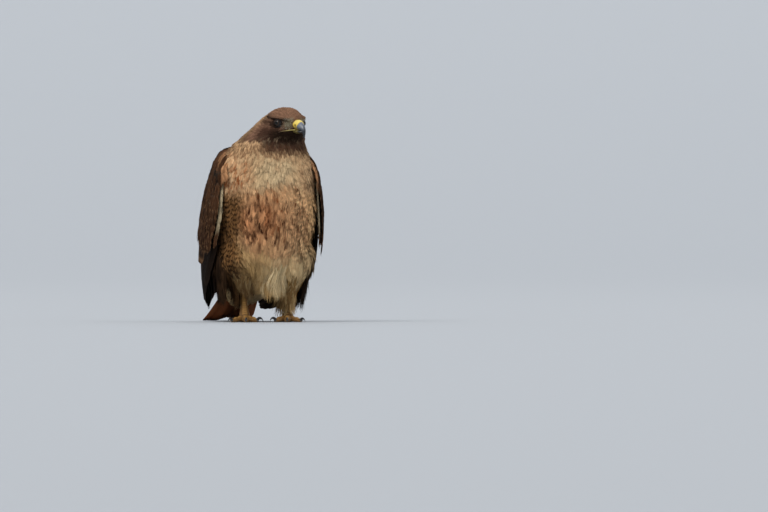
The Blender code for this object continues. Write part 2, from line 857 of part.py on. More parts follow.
def trouser_lock(side_name, angle, length, stand):
    """A long leg feather that hangs from the thigh and bends in towards the shank."""
    x, y, hip = foot_x[side_name], foot_y[side_name], hip_x[side_name]
    out = Vector((math.cos(angle), math.sin(angle), 0))
    side = Vector((-math.sin(angle), math.cos(angle), 0))
    top = Vector((hip + (x - hip) * 0.45, -0.005, lock_root_height))
    tip = Vector((x, y + 0.004, lock_root_height - length))
    left, right, thick = [], [], []
    stations = 5
    for k in range(stations):
        s = k / (stations - 1)
        reach = stand + (0.0190 + 0.0035 * math.sin(math.pi * s * 0.8)) * (1 - 0.30 * s)
        place = top.lerp(tip, s) + Vector((out.x * reach, out.y * reach * 1.15, 0))
        half = lock_half_width * (0.7 + 0.9 * s - 1.38 * s * s)
        left.append((place - side * half, out))
        right.append((place + side * half, out))
        thick.append(0.0016 - 0.0008 * s)
    return blade("lock", left, right, thick)


def make_shank(side_name):
    x, y = foot_x[side_name], foot_y[side_name]
    end = thigh_end[side_name]
    points = [
        (x, y + 0.0060, end - gap),
        (x, y + 0.0045, end * 0.72),
        (x, y + 0.0020, end * 0.46 + 0.003),
        (x, y, 0.0135),
        (x, y - 0.001, 0.0060),
        (x, y - 0.001, -floor_cut),
    ]
    radii = [0.0060, 0.0057, 0.0062, 0.0086, 0.0094, 0.0061]
    return limb("shank", points, radii, 3)


# Each toe: direction from straight ahead towards the outside, length, radius, claw length
toes = {
    "inner": (-33, 0.034, 0.0054, 0.0205),
    "middle": (0, 0.046, 0.0056, 0.0185),
    "outer": (34, 0.038, 0.0050, 0.0160),
    "hind": (174, 0.027, 0.0056, 0.0215),
}
foot_turn = {"right": 11, "left": -15}


def toe_direction(side_name, bearing):
    """Straight ahead is -Y; a positive bearing turns to the bird's outside."""
    outward = 1 if side_name == "left" else -1
    angle = math.radians(bearing + foot_turn[side_name])
    return Vector((outward * math.sin(angle), -math.cos(angle), 0))


def make_toe(side_name, toe_name):
    bearing, length, radius = toes[toe_name][:3]
    way = toe_direction(side_name, bearing)
    start = Vector((foot_x[side_name], foot_y[side_name] - 0.001, 0))
    points, radii = [], []
    knuckles = 2.0 if toe_name == "hind" else 3.0
    for k in range(9):
        s = k / 8
        swell = 1 + 0.11 * math.cos(2 * math.pi * knuckles * s)
        slim = radius * (1 - 0.26 * s) * swell * (0.8 if k == 8 else 1.0)
        height = slim * 0.86 - floor_cut + 0.0022 * math.sin(math.pi * min(1.0, s * 1.1)) * (1 - s)
        points.append(start + way * (0.002 + length * s) + Vector((0, 0, height)))
        radii.append(slim)
    return limb("toe", points, radii, 2)


def make_claw(side_name, toe_name):
    """A hooked horn that grows from the toe's end and comes down to the floor."""
    bearing, length, radius, claw = toes[toe_name]
    way = toe_direction(side_name, bearing)
    root = Vector((foot_x[side_name], foot_y[side_name] - 0.001, 0)) + way * (0.0015 + length)
    thick = radius * 0.74 * 0.66
    base_height = radius * 0.66
    points, radii = [], []
    bend = math.radians(112)
    turn_radius = claw / bend
    start_angle = math.radians(48)
    steps = 7
    for k in range(steps):
        s = k / (steps - 1)
        angle = start_angle - bend * s
        forward = turn_radius * (math.sin(start_angle) - math.sin(angle))
        rise = turn_radius * (math.cos(angle) - math.cos(start_angle))
        points.append(root + way * forward + Vector((0, 0, base_height + rise)))
        radii.append(max(thick * (1 - s) ** 0.75, 0.00035))
    lowest = min(p.z - r for p, r in zip(points, radii))
    if lowest < 0.0004:
        lift = 0.0004 - lowest
        points = [p + Vector((0, 0, lift * k / (steps - 1))) for k, p in enumerate(points)]
    return limb("claw", points, radii, 1)


def make_leg(side_name, body, torso):
    thigh = boolean(copied(body, "thigh"), make_thigh(side_name, thigh_room), "INTERSECT")
    keep_largest(thigh)
    locks = []
    for k in range(lock_count):
        angle = 2 * math.pi * (k + 0.3) / lock_count
        length = lock_length[side_name] + 0.005 * math.sin(5.0 * k)
        stand = lock_stand if k % 2 else -lock_stand
        locks.append(trouser_lock(side_name, angle, length, stand))
    thigh = unite("thigh", [thigh] + locks)
    boolean(thigh, inflated(torso, gap), "DIFFERENCE")
    keep_largest(thigh)
    shank = make_shank(side_name)
    boolean(shank, inflated(thigh, gap), "DIFFERENCE")
    keep_largest(shank)
    settle_on_floor(shank)
    made = []
    for toe_name in toes:
        toe = make_toe(side_name, toe_name)
        claw = make_claw(side_name, toe_name)
        boolean(toe, inflated(shank, gap), "DIFFERENCE")
        for other in made:
            boolean(toe, inflated(other, gap), "DIFFERENCE")
        keep_largest(toe)
        settle_on_floor(toe)
        boolean(claw, inflated(toe, gap), "DIFFERENCE")
        keep_largest(claw)
        made.append(toe)
        node(claw, f"claw_{toe_name}_{side_name}", horn_black)
    for toe, toe_name in zip(made, toes):
        node(toe, f"toe_{toe_name}_{side_name}", skin_yellow)
    node(shank, f"shank_{side_name}", skin_yellow)
    node(thigh, f"thigh_{side_name}", leg_buff)


def make_wings(body):
    left = unite("wing", [wing_core()] + wing_feathers())
    right = mirror_across(left, "wing")
    for wing, side_name in ((left, "left"), (right, "right")):
        boolean(wing, inflated(body, gap), "DIFFERENCE")
        keep_largest(wing)
        node(wing, f"wing_{side_name}", wing_brown, 30)


def make_tail(body):
    vanes = [tail_vane(rank, side) for rank in range(tail_pairs) for side in (1, -1)]
    tail = unite("tail", [tail_base()] + vanes)
    boolean(tail, inflated(body, gap), "DIFFERENCE")
    keep_largest(tail)
    settle_on_floor(tail)
    under = undertail_coverts()
    boolean(under, inflated(body, gap), "DIFFERENCE")
    boolean(under, inflated(tail, gap), "DIFFERENCE")
    keep_largest(under)
    node(under, "undertail_coverts", breast_buff)
    node(tail, "tail", tail_red, 30)


def centre_on_origin():
    """Moves the bird so that the middle of its base box is the origin."""
    corners = [v.co for thing in bird.objects for v in thing.data.vertices]
    low = Vector([min(c[k] for c in corners) for k in range(3)])
    high = Vector([max(c[k] for c in corners) for k in range(3)])
    middle = (low + high) / 2
    shift = Matrix.Translation((-middle.x, -middle.y, 0))
    for thing in bird.objects:
        thing.data.transform(shift)


body = make_body()
torso = make_head(body)
for side_name in ("right", "left"):
    boolean(torso, make_thigh(side_name, thigh_room + gap), "DIFFERENCE")
keep_largest(torso)
for side_name in ("right", "left"):
    make_leg(side_name, body, torso)
make_wings(body)
make_tail(body)
node(torso, "torso", breast_buff)
bpy.data.objects.remove(body)
centre_on_origin()
bpy.data.collections.remove(workshop)
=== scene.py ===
import math

import bmesh
import bpy
import numpy as np
from mathutils import Matrix, Vector
from mathutils.bvhtree import BVHTree


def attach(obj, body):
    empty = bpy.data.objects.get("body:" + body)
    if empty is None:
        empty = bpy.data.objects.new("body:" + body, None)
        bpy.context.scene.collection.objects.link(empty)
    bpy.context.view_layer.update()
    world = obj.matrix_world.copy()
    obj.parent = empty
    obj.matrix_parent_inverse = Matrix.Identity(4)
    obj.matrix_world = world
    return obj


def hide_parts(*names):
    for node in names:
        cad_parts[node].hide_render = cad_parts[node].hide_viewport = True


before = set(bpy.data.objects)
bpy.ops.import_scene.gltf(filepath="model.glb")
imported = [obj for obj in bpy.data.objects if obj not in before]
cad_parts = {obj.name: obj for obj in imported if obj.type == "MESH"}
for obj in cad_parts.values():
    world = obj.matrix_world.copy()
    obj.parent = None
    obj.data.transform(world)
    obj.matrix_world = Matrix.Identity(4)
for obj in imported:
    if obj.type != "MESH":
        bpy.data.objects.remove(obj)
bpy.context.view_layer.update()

print("frame loaded")

# Places.

bird = {
    "headPlace": (0.0268, -0.062, 0.327),  # between the eyes, before the CAD model is centred
    "headTurn": 17,                        # degrees to the bird's left
    "headNod": 4,
    "eye": (0.0092, 0.0214, 0.0005),       # ahead, to the side, up from the head's middle
    "eyeRadius": 0.0078,
    "eyeLook": (0.42, 0.90, 0.04),
    "leftSole": (0.044, 0.002, 0.0),       # middle of the left shank's flat foot
}


def corners(node):  # a CAD node's points, in the frame
    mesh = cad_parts[node].data
    out = np.empty(len(mesh.vertices) * 3, np.float32)
    mesh.vertices.foreach_get("co", out)
    return out.reshape(-1, 3).astype(float)


footing = corners("shank_left")
footing = footing[footing[:, 2] < 0.0005]
shift = (footing.min(0) + footing.max(0)) / 2 - np.array(bird["leftSole"])
shift[2] = 0.0
headPlace = np.array(bird["headPlace"]) + shift
turnHead = Matrix.Rotation(math.radians(bird["headTurn"]), 3, "Z") @ Matrix.Rotation(math.radians(bird["headNod"]), 3, "X")
headAxes = np.array(turnHead) @ np.array([[0, 1, 0], [-1, 0, 0], [0, 0, 1]], float)  # columns: ahead, left, up


def headPoint(ahead, side, up):  # a place in the head's own frame
    return headPlace + headAxes @ np.array([ahead, side, up], float)


def headWay(ahead, side, up):
    way = headAxes @ np.array([ahead, side, up], float)
    return way / np.linalg.norm(way)


def inHead(points):  # ahead, side and up of many places
    return (np.asarray(points) - headPlace) @ headAxes


# Number work.

def unit(v):
    return v / np.maximum(np.linalg.norm(v, axis=-1, keepdims=True), 1e-12)


def smooth(x, low, high):  # 0 below low, 1 above high
    t = np.clip((x - low) / (high - low), 0, 1)
    return t * t * (3 - 2 * t)


def bump(x, middle, reach):
    return np.exp(-((x - middle) / reach) ** 2)


def curveAt(table, s):  # a smooth curve through the rows, read at many places from 0 to 1
    table = np.asarray(table, float)
    last = len(table) - 1
    x = np.clip(s, 0, 1) * last
    k = np.minimum(x.astype(int), last - 1)
    t = (x - k)[..., None]
    rows = np.vstack([2 * table[0] - table[1], table, 2 * table[-1] - table[-2]])
    p0, p1, p2, p3 = rows[k], rows[k + 1], rows[k + 2], rows[k + 3]
    return 0.5 * (2 * p1 + (p2 - p0) * t + (2 * p0 - 5 * p1 + 4 * p2 - p3) * t ** 2 + (3 * p1 - p0 - 3 * p2 + p3) * t ** 3)


def paint(r, g, b):  # a colour given as it looks, 0 to 255, in linear light
    c = np.array([r, g, b], float) / 255
    return np.where(c <= 0.04045, c / 12.92, ((c + 0.055) / 1.055) ** 2.4)


def blend(a, b, share):
    share = np.asarray(share)[..., None]
    return a * (1 - share) + b * share


def ripple(points, scale, seed):  # a soft uneven field over space, about -1 to 1
    rng = np.random.default_rng(seed)
    total = np.zeros(len(points))
    for _ in range(5):
        way = unit(rng.normal(size=3)) * rng.uniform(0.7, 1.4) * 2 * math.pi / scale
        total += np.sin(points @ way + rng.uniform(0, 7))
    return total / 2.6


# Meshes and materials.

def meshFrom(name, points, quads, tint=None, maps=None):  # a mesh of four-sided faces from arrays
    mesh = bpy.data.meshes.new(name)
    mesh.vertices.add(len(points))
    mesh.vertices.foreach_set("co", np.asarray(points, np.float32).ravel())
    flat = np.asarray(quads, np.int32).ravel()
    mesh.loops.add(len(flat))
    mesh.loops.foreach_set("vertex_index", flat)
    mesh.polygons.add(len(flat) // 4)
    mesh.polygons.foreach_set("loop_start", np.arange(0, len(flat), 4, dtype=np.int32))
    mesh.update(calc_edges=True)
    for layer, spots in (maps or {}).items():
        uv = mesh.uv_layers.new(name=layer)
        uv.data.foreach_set("uv", np.asarray(spots, np.float32)[flat].ravel())
    if tint is not None:
        giveTint(mesh, tint)
    mesh.shade_smooth()
    return mesh


def giveTint(mesh, tint):
    layer = mesh.color_attributes.new("tint", "FLOAT_COLOR", "POINT")
    full = np.ones((len(tint), 4), np.float32)
    full[:, :3] = np.clip(tint, 0, 1)
    layer.data.foreach_set("color", full.ravel())


def addPiece(name, mesh, material, replaces=()):
    mesh.name = name
    piece = bpy.data.objects.new(name, mesh)
    bpy.context.scene.collection.objects.link(piece)
    mesh.materials.clear()
    mesh.materials.append(material)
    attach(piece, "root")
    if replaces:
        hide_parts(*replaces)
    return piece


class Wire:  # one output of a node, ready for sums
    def __init__(self, tree, socket):
        self.tree, self.socket = tree, socket

    def sum(self, operation, first, second):
        return place(self.tree, "ShaderNodeMath", {"operation": operation}, {0: first, 1: second})

    def __add__(self, other): return self.sum("ADD", self, other)
    def __radd__(self, other): return self.sum("ADD", other, self)
    def __sub__(self, other): return self.sum("SUBTRACT", self, other)
    def __rsub__(self, other): return self.sum("SUBTRACT", other, self)
    def __mul__(self, other): return self.sum("MULTIPLY", self, other)
    def __rmul__(self, other): return self.sum("MULTIPLY", other, self)
    def __truediv__(self, other): return self.sum("DIVIDE", self, other)
    def __rtruediv__(self, other): return self.sum("DIVIDE", other, self)
    def __pow__(self, other): return self.sum("POWER", self, other)


def feed(tree, socket, value):
    if isinstance(value, Wire):
        tree.links.new(value.socket, socket)
    elif hasattr(value, "__len__") and len(value) == 3 and socket.type == "RGBA":
        socket.default_value = (*value, 1.0)
    else:
        socket.default_value = value


def place(tree, kind, settings=None, inputs=None, output=0):  # any node: its settings first, then what goes in
    node = tree.nodes.new(kind)
    for key, value in (settings or {}).items():
        if key == "stops":
            while len(node.color_ramp.elements) < len(value):
                node.color_ramp.elements.new(0.5)
            for element, (spot, colour) in zip(node.color_ramp.elements, value):
                element.position = spot
                element.color = (*colour, 1.0) if hasattr(colour, "__len__") else (colour, colour, colour, 1.0)
        else:
            setattr(node, key, value)
    for key, value in (inputs or {}).items():
        feed(tree, node.inputs[key], value)
    return Wire(tree, node.outputs[output])


def mixColours(tree, share, first, second, way="MIX"):
    return place(tree, "ShaderNodeMix", {"data_type": "RGBA", "blend_type": way},
                 {0: share, 6: first, 7: second}, 2)


def newFinish(name, **fixed):  # a Principled material, with its tree and shader
    made = bpy.data.materials.new(name)
    made.use_nodes = True
    shader = made.node_tree.nodes["Principled BSDF"]
    for key, value in fixed.items():
        feed(made.node_tree, shader.inputs[key], value)
    return made, made.node_tree, shader.inputs


def objectSpot(tree, scale=(1, 1, 1), move=(0, 0, 0)):
    spot = place(tree, "ShaderNodeTexCoord", output=3)
    return place(tree, "ShaderNodeMapping", None, {"Vector": spot, "Scale": scale, "Location": move})


def tintOf(tree):
    return place(tree, "ShaderNodeAttribute", {"attribute_name": "tint"})


def makePlumage(name, roughness, barbs, mottle, gloss):
    made, tree, put = newFinish(name, **{"Specular IOR Level": gloss})
    tint = tintOf(tree)
    vane = place(tree, "ShaderNodeUVMap", {"uv_map": "vane"})
    across = place(tree, "ShaderNodeSeparateXYZ", None, {0: vane}, 0)
    along = place(tree, "ShaderNodeSeparateXYZ", None, {0: vane}, 1)
    slant = place(tree, "ShaderNodeMath", {"operation": "ABSOLUTE"}, {0: across - 0.5})
    fine = place(tree, "ShaderNodeMath", {"operation": "SINE"}, {0: (along * barbs - slant * barbs * 0.8) * 6.28})
    cloud = place(tree, "ShaderNodeTexNoise", None,
                  {"Vector": objectSpot(tree), "Scale": 420.0, "Detail": 3.0, "Roughness": 0.6})
    shade = (1.0 - mottle) + cloud * (2 * mottle) + fine * 0.05
    grey = place(tree, "ShaderNodeCombineColor", None, {0: shade, 1: shade, 2: shade})
    feed(tree, put["Base Color"], mixColours(tree, 1.0, tint, grey, "MULTIPLY"))
    feed(tree, put["Roughness"], roughness + cloud * 0.1)
    feed(tree, put["Normal"], place(tree, "ShaderNodeBump", None,
                                    {"Strength": 0.35, "Distance": 0.0002, "Height": fine * 0.5 + cloud}))
    return made


softPlumage = makePlumage("softPlumage", 0.86, 14.0, 0.14, 0.05)
crispPlumage = makePlumage("crispPlumage", 0.74, 60.0, 0.14, 0.04)

# The bird's markings: one rule for skin and coat.

tones = {
    "crown": paint(164, 124, 98), "crownDark": paint(60, 40, 30), "cheek": paint(176, 134, 108), "cheekDark": paint(90, 64, 51),
    "throat": paint(40, 28, 20), "throatPale": paint(138, 116, 92), "eyeMarkAndBrowShade": paint(30, 20, 16), "lores": paint(140, 134, 108),
    "nape": paint(214, 174, 130), "napeDark": paint(108, 74, 50), "mantle": paint(70, 50, 38), "mantleEdge": paint(138, 98, 70),
    "bib": paint(200, 168, 126), "bibPale": paint(208, 182, 142), "rust": paint(166, 98, 54), "sideBreast": paint(222, 182, 138),
    "band": paint(242, 192, 140), "bandStreak": paint(50, 18, 7), "chestnut": paint(178, 102, 58),
    "flank": paint(232, 186, 132), "flankShade": paint(134, 95, 57), "bar": paint(20, 9, 4),
    "belly": paint(178, 146, 100), "cream": paint(218, 190, 144), "trousers": paint(160, 126, 80), "trouserShade": paint(70, 50, 30),
    "undertail": paint(190, 164, 124), "down": paint(96, 84, 72),
}


barStep = 0.0080  # from one flank bar to the next


def barPhase(points):  # level bars that run on from feather to feather, bowed like scales
    x, y, z = np.moveaxis(points - shift, -1, 0)
    column = (0.75 * np.abs(x) + 0.65 * y) / 0.0145
    return 0.42 * (2 * np.mod(column, 1) - 1) ** 2 + 0.5 * np.floor(column) - z / barStep


def plumageAt(points):  # colours and marks of the feathers seen at these places
    x, y, z = (points - shift).T
    ahead, side, up = inHead(points).T
    n = len(points)
    wave, fine = ripple(points, 0.050, 3), ripple(points, 0.016, 4)
    front = smooth(-y, -0.005, 0.03)
    off = np.abs(x - 0.004)
    near = smooth(-x, 0.0, 0.02)                     # the bird's right side, which stands in shade; below, its colours are darkened as painted shade
    level = z + 0.006 * wave + 0.030 * smooth(x, -0.015, 0.015) * (1 - smooth(z, 0.10, 0.15))
    # belly, band and bib
    base = blend(np.tile(tones["belly"], (n, 1)), tones["band"], smooth(level, 0.108, 0.140))
    warm = bump(level, 0.172, 0.042) * (0.25 + 0.75 * bump(x, -0.024, 0.034))
    base = blend(base, tones["chestnut"], warm * np.clip(0.80 + 0.4 * wave, 0, 1) * 0.9)
    base = blend(base, tones["bib"], smooth(level, 0.206, 0.226))
    base = blend(base, tones["bibPale"], smooth(level, 0.208, 0.232) * bump(x, 0.006, 0.034) * 0.8)
    sideBreast = smooth(off, 0.026, 0.056) * smooth(level, 0.196, 0.222)
    base = blend(base, tones["sideBreast"], sideBreast * 0.85)
    # Painted light: the front of the bird's left side is lightened by up to 15%.
    base = base * (1 + 0.15 * smooth(x, 0.012, 0.045) * front)[:, None]
    edge, edgeShare = base * 1.24, (0.40 + 0.2 * sideBreast) * (1 - 0.7 * smooth(off, 0.042, 0.062))
    streak = np.tile(tones["bandStreak"], (n, 1))
    inBand = smooth(level, 0.112, 0.140) * (1 - smooth(level, 0.214, 0.232) * (1 - 0.45 * sideBreast))
    run = ripple(points * [1, 1, 0.20], 0.0075, 9)          # streaks run on down the breast
    streakShare = inBand * np.clip(0.60 + 0.35 * warm + 0.2 * wave + 0.70 * run, 0.05, 1)
    streak = blend(streak, tones["rust"], np.clip(smooth(level, 0.204, 0.226) * 0.85 + 0.35 * fine * (1 - near), 0, 0.9))
    streakShare = np.maximum(streakShare, 0.30 * smooth(level, 0.205, 0.225) * np.clip(0.3 + 0.7 * fine, 0, 1))
    streakShare = np.maximum(streakShare, sideBreast * np.clip(0.75 + 0.5 * fine, 0, 1))
    streak = blend(streak, tones["flankShade"] * 0.25, sideBreast * smooth(x, 0.010, 0.035))
    # flanks in dark bars
    flank = smooth(off, 0.042, 0.062) * smooth(z, 0.050, 0.075) * (1 - smooth(level, 0.196, 0.220))
    # Painted shade: on the bird's right side the flank turns to the darker shaded flank tone.
    base = blend(base, blend(np.tile(tones["flank"], (n, 1)), tones["flankShade"], near), flank)
    barShare = np.maximum(flank * (0.80 + 0.20 * near), 0.60 * smooth(x, 0.014, 0.040) * inBand * (1 - sideBreast))
    streakShare = streakShare * (1 - 0.75 * flank)
    # lower belly, trousers and the feathers under the tail
    pale = bump(x, 0.014, 0.017) * smooth(-z, -0.118, -0.080) * front
    base = blend(base, tones["cream"], np.clip(pale * 1.1, 0, 1))
    leg = smooth(-z, -0.104, -0.078) * smooth(off, 0.014, 0.026) * smooth(-y, -0.05, -0.02)
    # Painted shade: the trousers on the bird's right side darken towards a deep brown.
    base = blend(base, blend(np.tile(tones["trousers"], (n, 1)), tones["trouserShade"], near * smooth(-x, 0.030, 0.050)), leg * 0.9)
    base = blend(base, tones["cream"], smooth(x, 0.026, 0.044) * smooth(-z, -0.145, -0.095) * 0.8)
    # Painted shade: the outer side of the left thigh darkens to a deep brown.
    base = blend(base, tones["trouserShade"], smooth(x, 0.056, 0.067) * smooth(-z, -0.118, -0.098) * 0.85)
    streakShare = streakShare * (1 - 0.6 * leg)
    behind = smooth(y, 0.012, 0.040) * smooth(-z, -0.115, -0.070)
    base = blend(base, tones["undertail"], behind * 0.9)
    # Painted shade: low behind the right leg the undertail darkens to a deep brown.
    base = blend(base, tones["trouserShade"], behind * smooth(-x, 0.022, 0.042) * smooth(-z, -0.105, -0.085) * 0.85)
    streakShare, barShare = streakShare * (1 - behind), barShare * (1 - 0.6 * behind)
    # back
    back = smooth(y, -0.030, 0.006) * smooth(z, 0.090, 0.118)
    base = blend(base, tones["mantle"] * (1 + 0.15 * wave[:, None]), back)
    edge = blend(edge, tones["mantleEdge"], back)
    edgeShare = edgeShare * (1 - back) + 0.75 * back
    streak = blend(streak, tones["mantle"] * 0.4, back)
    streakShare = streakShare * (1 - back) + 0.7 * back
    barShare = barShare * (1 - back)
    # neck, tan at the sides and dark in front
    before = smooth(ahead - 0.35 * np.abs(side), -0.030, -0.004)
    neck = smooth(z + 0.005 * wave, 0.266 - 0.004 * before, 0.278 - 0.004 * before)
    coat = blend(np.tile(tones["nape"], (n, 1)), tones["cheekDark"] * 0.85, before * smooth(z, 0.268, 0.284))
    coat = blend(coat, tones["mantle"] * 1.4, smooth(y, -0.045, -0.005) * 0.6)
    base = blend(base, coat, neck)
    edge = blend(edge, coat * 1.35, neck * 0.9)
    streak = blend(streak, tones["napeDark"] * (1 - 0.4 * before)[:, None], neck)
    streakShare = streakShare * (1 - neck) + 0.85 * neck
    # head
    onHead = smooth(z, 0.286, 0.300)
    crown = smooth(up + 0.10 * (ahead - 0.02), 0.002, 0.011)
    face = blend(np.tile(tones["cheek"], (n, 1)), tones["cheekDark"], np.clip(0.35 + 0.4 * wave + 0.5 * smooth(-up, 0.002, 0.014), 0, 1))
    face = blend(face, tones["nape"], smooth(-ahead + 0.4 * up, 0.010, 0.034) * 0.85)
    face = blend(face, tones["crown"], crown)
    throat = smooth(-up, 0.007, 0.015) * smooth(ahead, -0.004, 0.014)
    face = blend(face, tones["throat"], throat)
    # The band under the brow above the eye is painted shade; the ring round the eye and the stripe behind it are dark
    # eye marks.
    eyeGap = np.linalg.norm(np.stack([ahead - 0.0080, np.abs(side) - 0.0254, up + 0.0005], 1) * [0.80, 0.8, 1.15], axis=1)
    line = bump(up + 0.10 * ahead, 0.0075, 0.0036) * smooth(np.abs(side), 0.008, 0.014) * smooth(ahead, -0.032, -0.016) * (1 - smooth(ahead, 0.026, 0.032))
    line = np.maximum(line, 1 - smooth(eyeGap, 0.0085, 0.0130))
    line = np.maximum(line, 0.8 * bump(up, 0.001, 0.005) * smooth(-ahead, -0.004, 0.002) * (1 - smooth(-ahead, 0.012, 0.030)))
    face = blend(face, tones["eyeMarkAndBrowShade"], np.clip(line, 0, 1) * 0.92)
    lores = bump(ahead, 0.0275, 0.0062) * bump(up, -0.0010, 0.0056) * smooth(np.abs(side), 0.006, 0.010)
    lores = np.maximum(lores, 0.7 * bump(ahead, 0.0300, 0.0042) * bump(up, 0.0065, 0.0045) * smooth(np.abs(side), 0.004, 0.008))
    face = blend(face, tones["lores"], np.clip(lores * 1.2, 0, 1) * 0.8)
    base = blend(base, face, onHead)
    streak = blend(streak, tones["crownDark"], onHead)
    streakShare = streakShare * (1 - onHead) + onHead * (0.50 * crown + 0.45 * (1 - crown)) * (1 - throat) * (1 - np.clip(lores, 0, 1))
    edge = blend(edge, face * 1.35, onHead)
    whisker = smooth(ripple(points, 0.0060, 5), 0.0, 0.6) * bump(ahead, 0.006, 0.012) * bump(z, 0.2950, 0.0080)
    base = blend(base, tones["throatPale"], neck * whisker * 0.8)
    edgeShare = edgeShare * (1 - neck) + (0.5 - 0.2 * onHead) * neck
    return {"base": base, "edge": edge, "edgeShare": edgeShare, "streak": streak, "streakShare": streakShare,
            "streakWidth": np.clip(0.27 + 0.12 * fine + 0.10 * onHead, 0.14, 0.5), "bar": np.tile(tones["bar"], (n, 1)),
            "barShare": barShare}


def featherColours(marks, s, w, lock, rng):  # colour at every point of every feather
    n, m = len(marks["base"]), len(s)
    tint = np.repeat(marks["base"][:, None], m, 1)
    side = np.abs(w)[None]
    low, high, tip = marks.get("rim", (0.45, 0.9, 0.80))
    edge = np.maximum(smooth(side, low, high), smooth(s, tip, 0.5 + tip / 2)[None]) * marks["edgeShare"][:, None]
    tint = blend(tint, marks["edge"][:, None], edge)
    width = marks["streakWidth"][:, None] * (0.7 + 0.6 * smooth(s, 0.45, 0.85))[None]
    streak = np.exp(-(side / width) ** 2) * smooth(s, 0.22, 0.5)[None] * (1 - 0.35 * smooth(s, 0.92, 1.0)[None])
    streak = np.clip(streak * rng.uniform(0.75, 1.25, (n, 1)), 0, 1)
    tint = blend(tint, marks["streak"][:, None], streak * marks["streakShare"][:, None])
    phase = marks["phase"] if "phase" in marks else s[None] * marks["bars"][:, None] + 0.18 * side + rng.uniform(0, 0.25, (n, 1))
    bar = smooth(np.cos(phase * 2 * math.pi), -0.10, 0.30) * smooth(s, 0.2, 0.4)[None]
    tint = blend(tint, marks["bar"][:, None], bar * marks["barShare"][:, None] * 0.95)
    # Towards its root every feather turns to a dull down tone at half brightness: down colour plus painted shade under
    # the feathers above.
    tint = blend(tint, tones["down"] * 0.5, (1 - smooth(s, 0.10, 0.34))[None] * 0.75 + np.zeros((n, 1)))
    light = 1 + rng.normal(0, 0.12, (n, 1)) + 0.13 * lock[None]
    return tint * light[..., None]


# The skin under the feathers.

skinPlan = {"grid": 0.0019, "smoothing": 5, "headDepth": 0.0014, "bodyDepth": 0.0042,
            "overlap": 0.0003, "thighTop": 0.083}
thighPlan = {
    "hips": {"right": -0.044, "left": 0.045},
    "feet": {"right": (-0.030, -0.001), "left": (0.044, 0.003)},
    "ends": {"right": 0.047, "left": 0.030},
}


def loftRings(rings, closedEnds=True):  # points and faces of a skin over rings of equal count
    rings = np.asarray(rings)
    rows, count = rings.shape[:2]
    k = np.arange(count)
    faces = [np.stack([r * count + k, r * count + (k + 1) % count, (r + 1) * count + (k + 1) % count, (r + 1) * count + k], 1) for r in range(rows - 1)]
    return rings.reshape(-1, 3), np.vstack(faces)


def meshOfSkin():
    shape = bmesh.new()
    for node in ("thigh_left", "thigh_right"):       # above their locks only
        shape.from_mesh(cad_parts[node].data)
    bmesh.ops.remove_doubles(shape, verts=shape.verts, dist=1e-6)
    parts = shape.verts[:] + shape.edges[:] + shape.faces[:]
    cut = bmesh.ops.bisect_plane(shape, geom=parts, plane_co=(0, 0, skinPlan["thighTop"]), plane_no=(0, 0, 1), clear_inner=True)
    bmesh.ops.holes_fill(shape, edges=[e for e in cut["geom_cut"] if isinstance(e, bmesh.types.BMEdge)], sides=0)
    for node in ("head", "neck", "torso", "undertail_coverts"):
        shape.from_mesh(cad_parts[node].data)
    bmesh.ops.remove_doubles(shape, verts=shape.verts, dist=1e-6)
    shape.normal_update()
    for vert in shape.verts:                         # the thin cuts between the nodes close
        vert.co += vert.normal * skinPlan["overlap"]
    for name, hip in thighPlan["hips"].items():
        (fx, fy), end = thighPlan["feet"][name], thighPlan["ends"][name]
        stations = [
            ((hip * 0.92, 0.000, 0.142), (0.026, 0.036)), ((hip, -0.008, 0.122), (0.033, 0.043)),
            ((hip * 1.04, -0.014, 0.100), (0.033, 0.043)),
            ((hip + (fx - hip) * 0.25, -0.014, 0.080), (0.0285, 0.038)),
            ((hip + (fx - hip) * 0.60, -0.004, 0.063), (0.0215, 0.0275)),
            ((fx, fy + 0.007, end + 0.009), (0.0125, 0.0145)), ((fx, fy + 0.006, end), (0.0090, 0.0100)),
        ]
        rings = []
        for middle, (wide, deep) in stations:
            angle = np.linspace(0, 2 * math.pi, 24, endpoint=False)
            rings.append(np.array(middle) + shift + np.stack([wide * np.cos(angle), deep * np.sin(angle), 0 * angle], 1))
        points, faces = loftRings(rings)
        made = [shape.verts.new(p) for p in points]
        for face in faces:
            shape.faces.new([made[k] for k in face])
        shape.faces.new(made[:24])
        shape.faces.new(made[-24:])
    bmesh.ops.recalc_face_normals(shape, faces=shape.faces)
    mesh = bpy.data.meshes.new("skin")
    shape.to_mesh(mesh)
    shape.free()
    body = bpy.data.objects.new("skinMaking", mesh)
    bpy.context.scene.collection.objects.link(body)
    even = body.modifiers.new("even", "REMESH")
    even.mode = "VOXEL"
    even.voxel_size = skinPlan["grid"]
    soften = body.modifiers.new("soften", "SMOOTH")
    soften.iterations = skinPlan["smoothing"]
    bpy.context.view_layer.update()
    mesh = bpy.data.meshes.new_from_object(body.evaluated_get(bpy.context.evaluated_depsgraph_get()))
    bpy.data.objects.remove(body)
    return outerOnly(mesh)


def outerOnly(mesh):  # drops closed hollows inside
    shape = bmesh.new()
    shape.from_mesh(mesh)
    unseen, best = set(shape.verts), []
    while unseen:
        waiting = [unseen.pop()]
        island = list(waiting)
        while waiting:
            for edge in waiting.pop().link_edges:
                for vert in edge.verts:
                    if vert in unseen:
                        unseen.discard(vert)
                        island.append(vert)
                        waiting.append(vert)
        best = max(best, island, key=len)
    kept = set(best)
    bmesh.ops.delete(shape, geom=[v for v in shape.verts if v not in kept], context="VERTS")
    shape.to_mesh(mesh)
    shape.free()
    return mesh


def pointsOf(mesh):
    out = np.empty(len(mesh.vertices) * 3, np.float32)
    mesh.vertices.foreach_get("co", out)
    return out.reshape(-1, 3).astype(float)


def normalsOf(mesh):
    out = np.empty(len(mesh.vertices) * 3, np.float32)
    mesh.vertex_normals.foreach_get("vector", out)
    return out.reshape(-1, 3).astype(float)


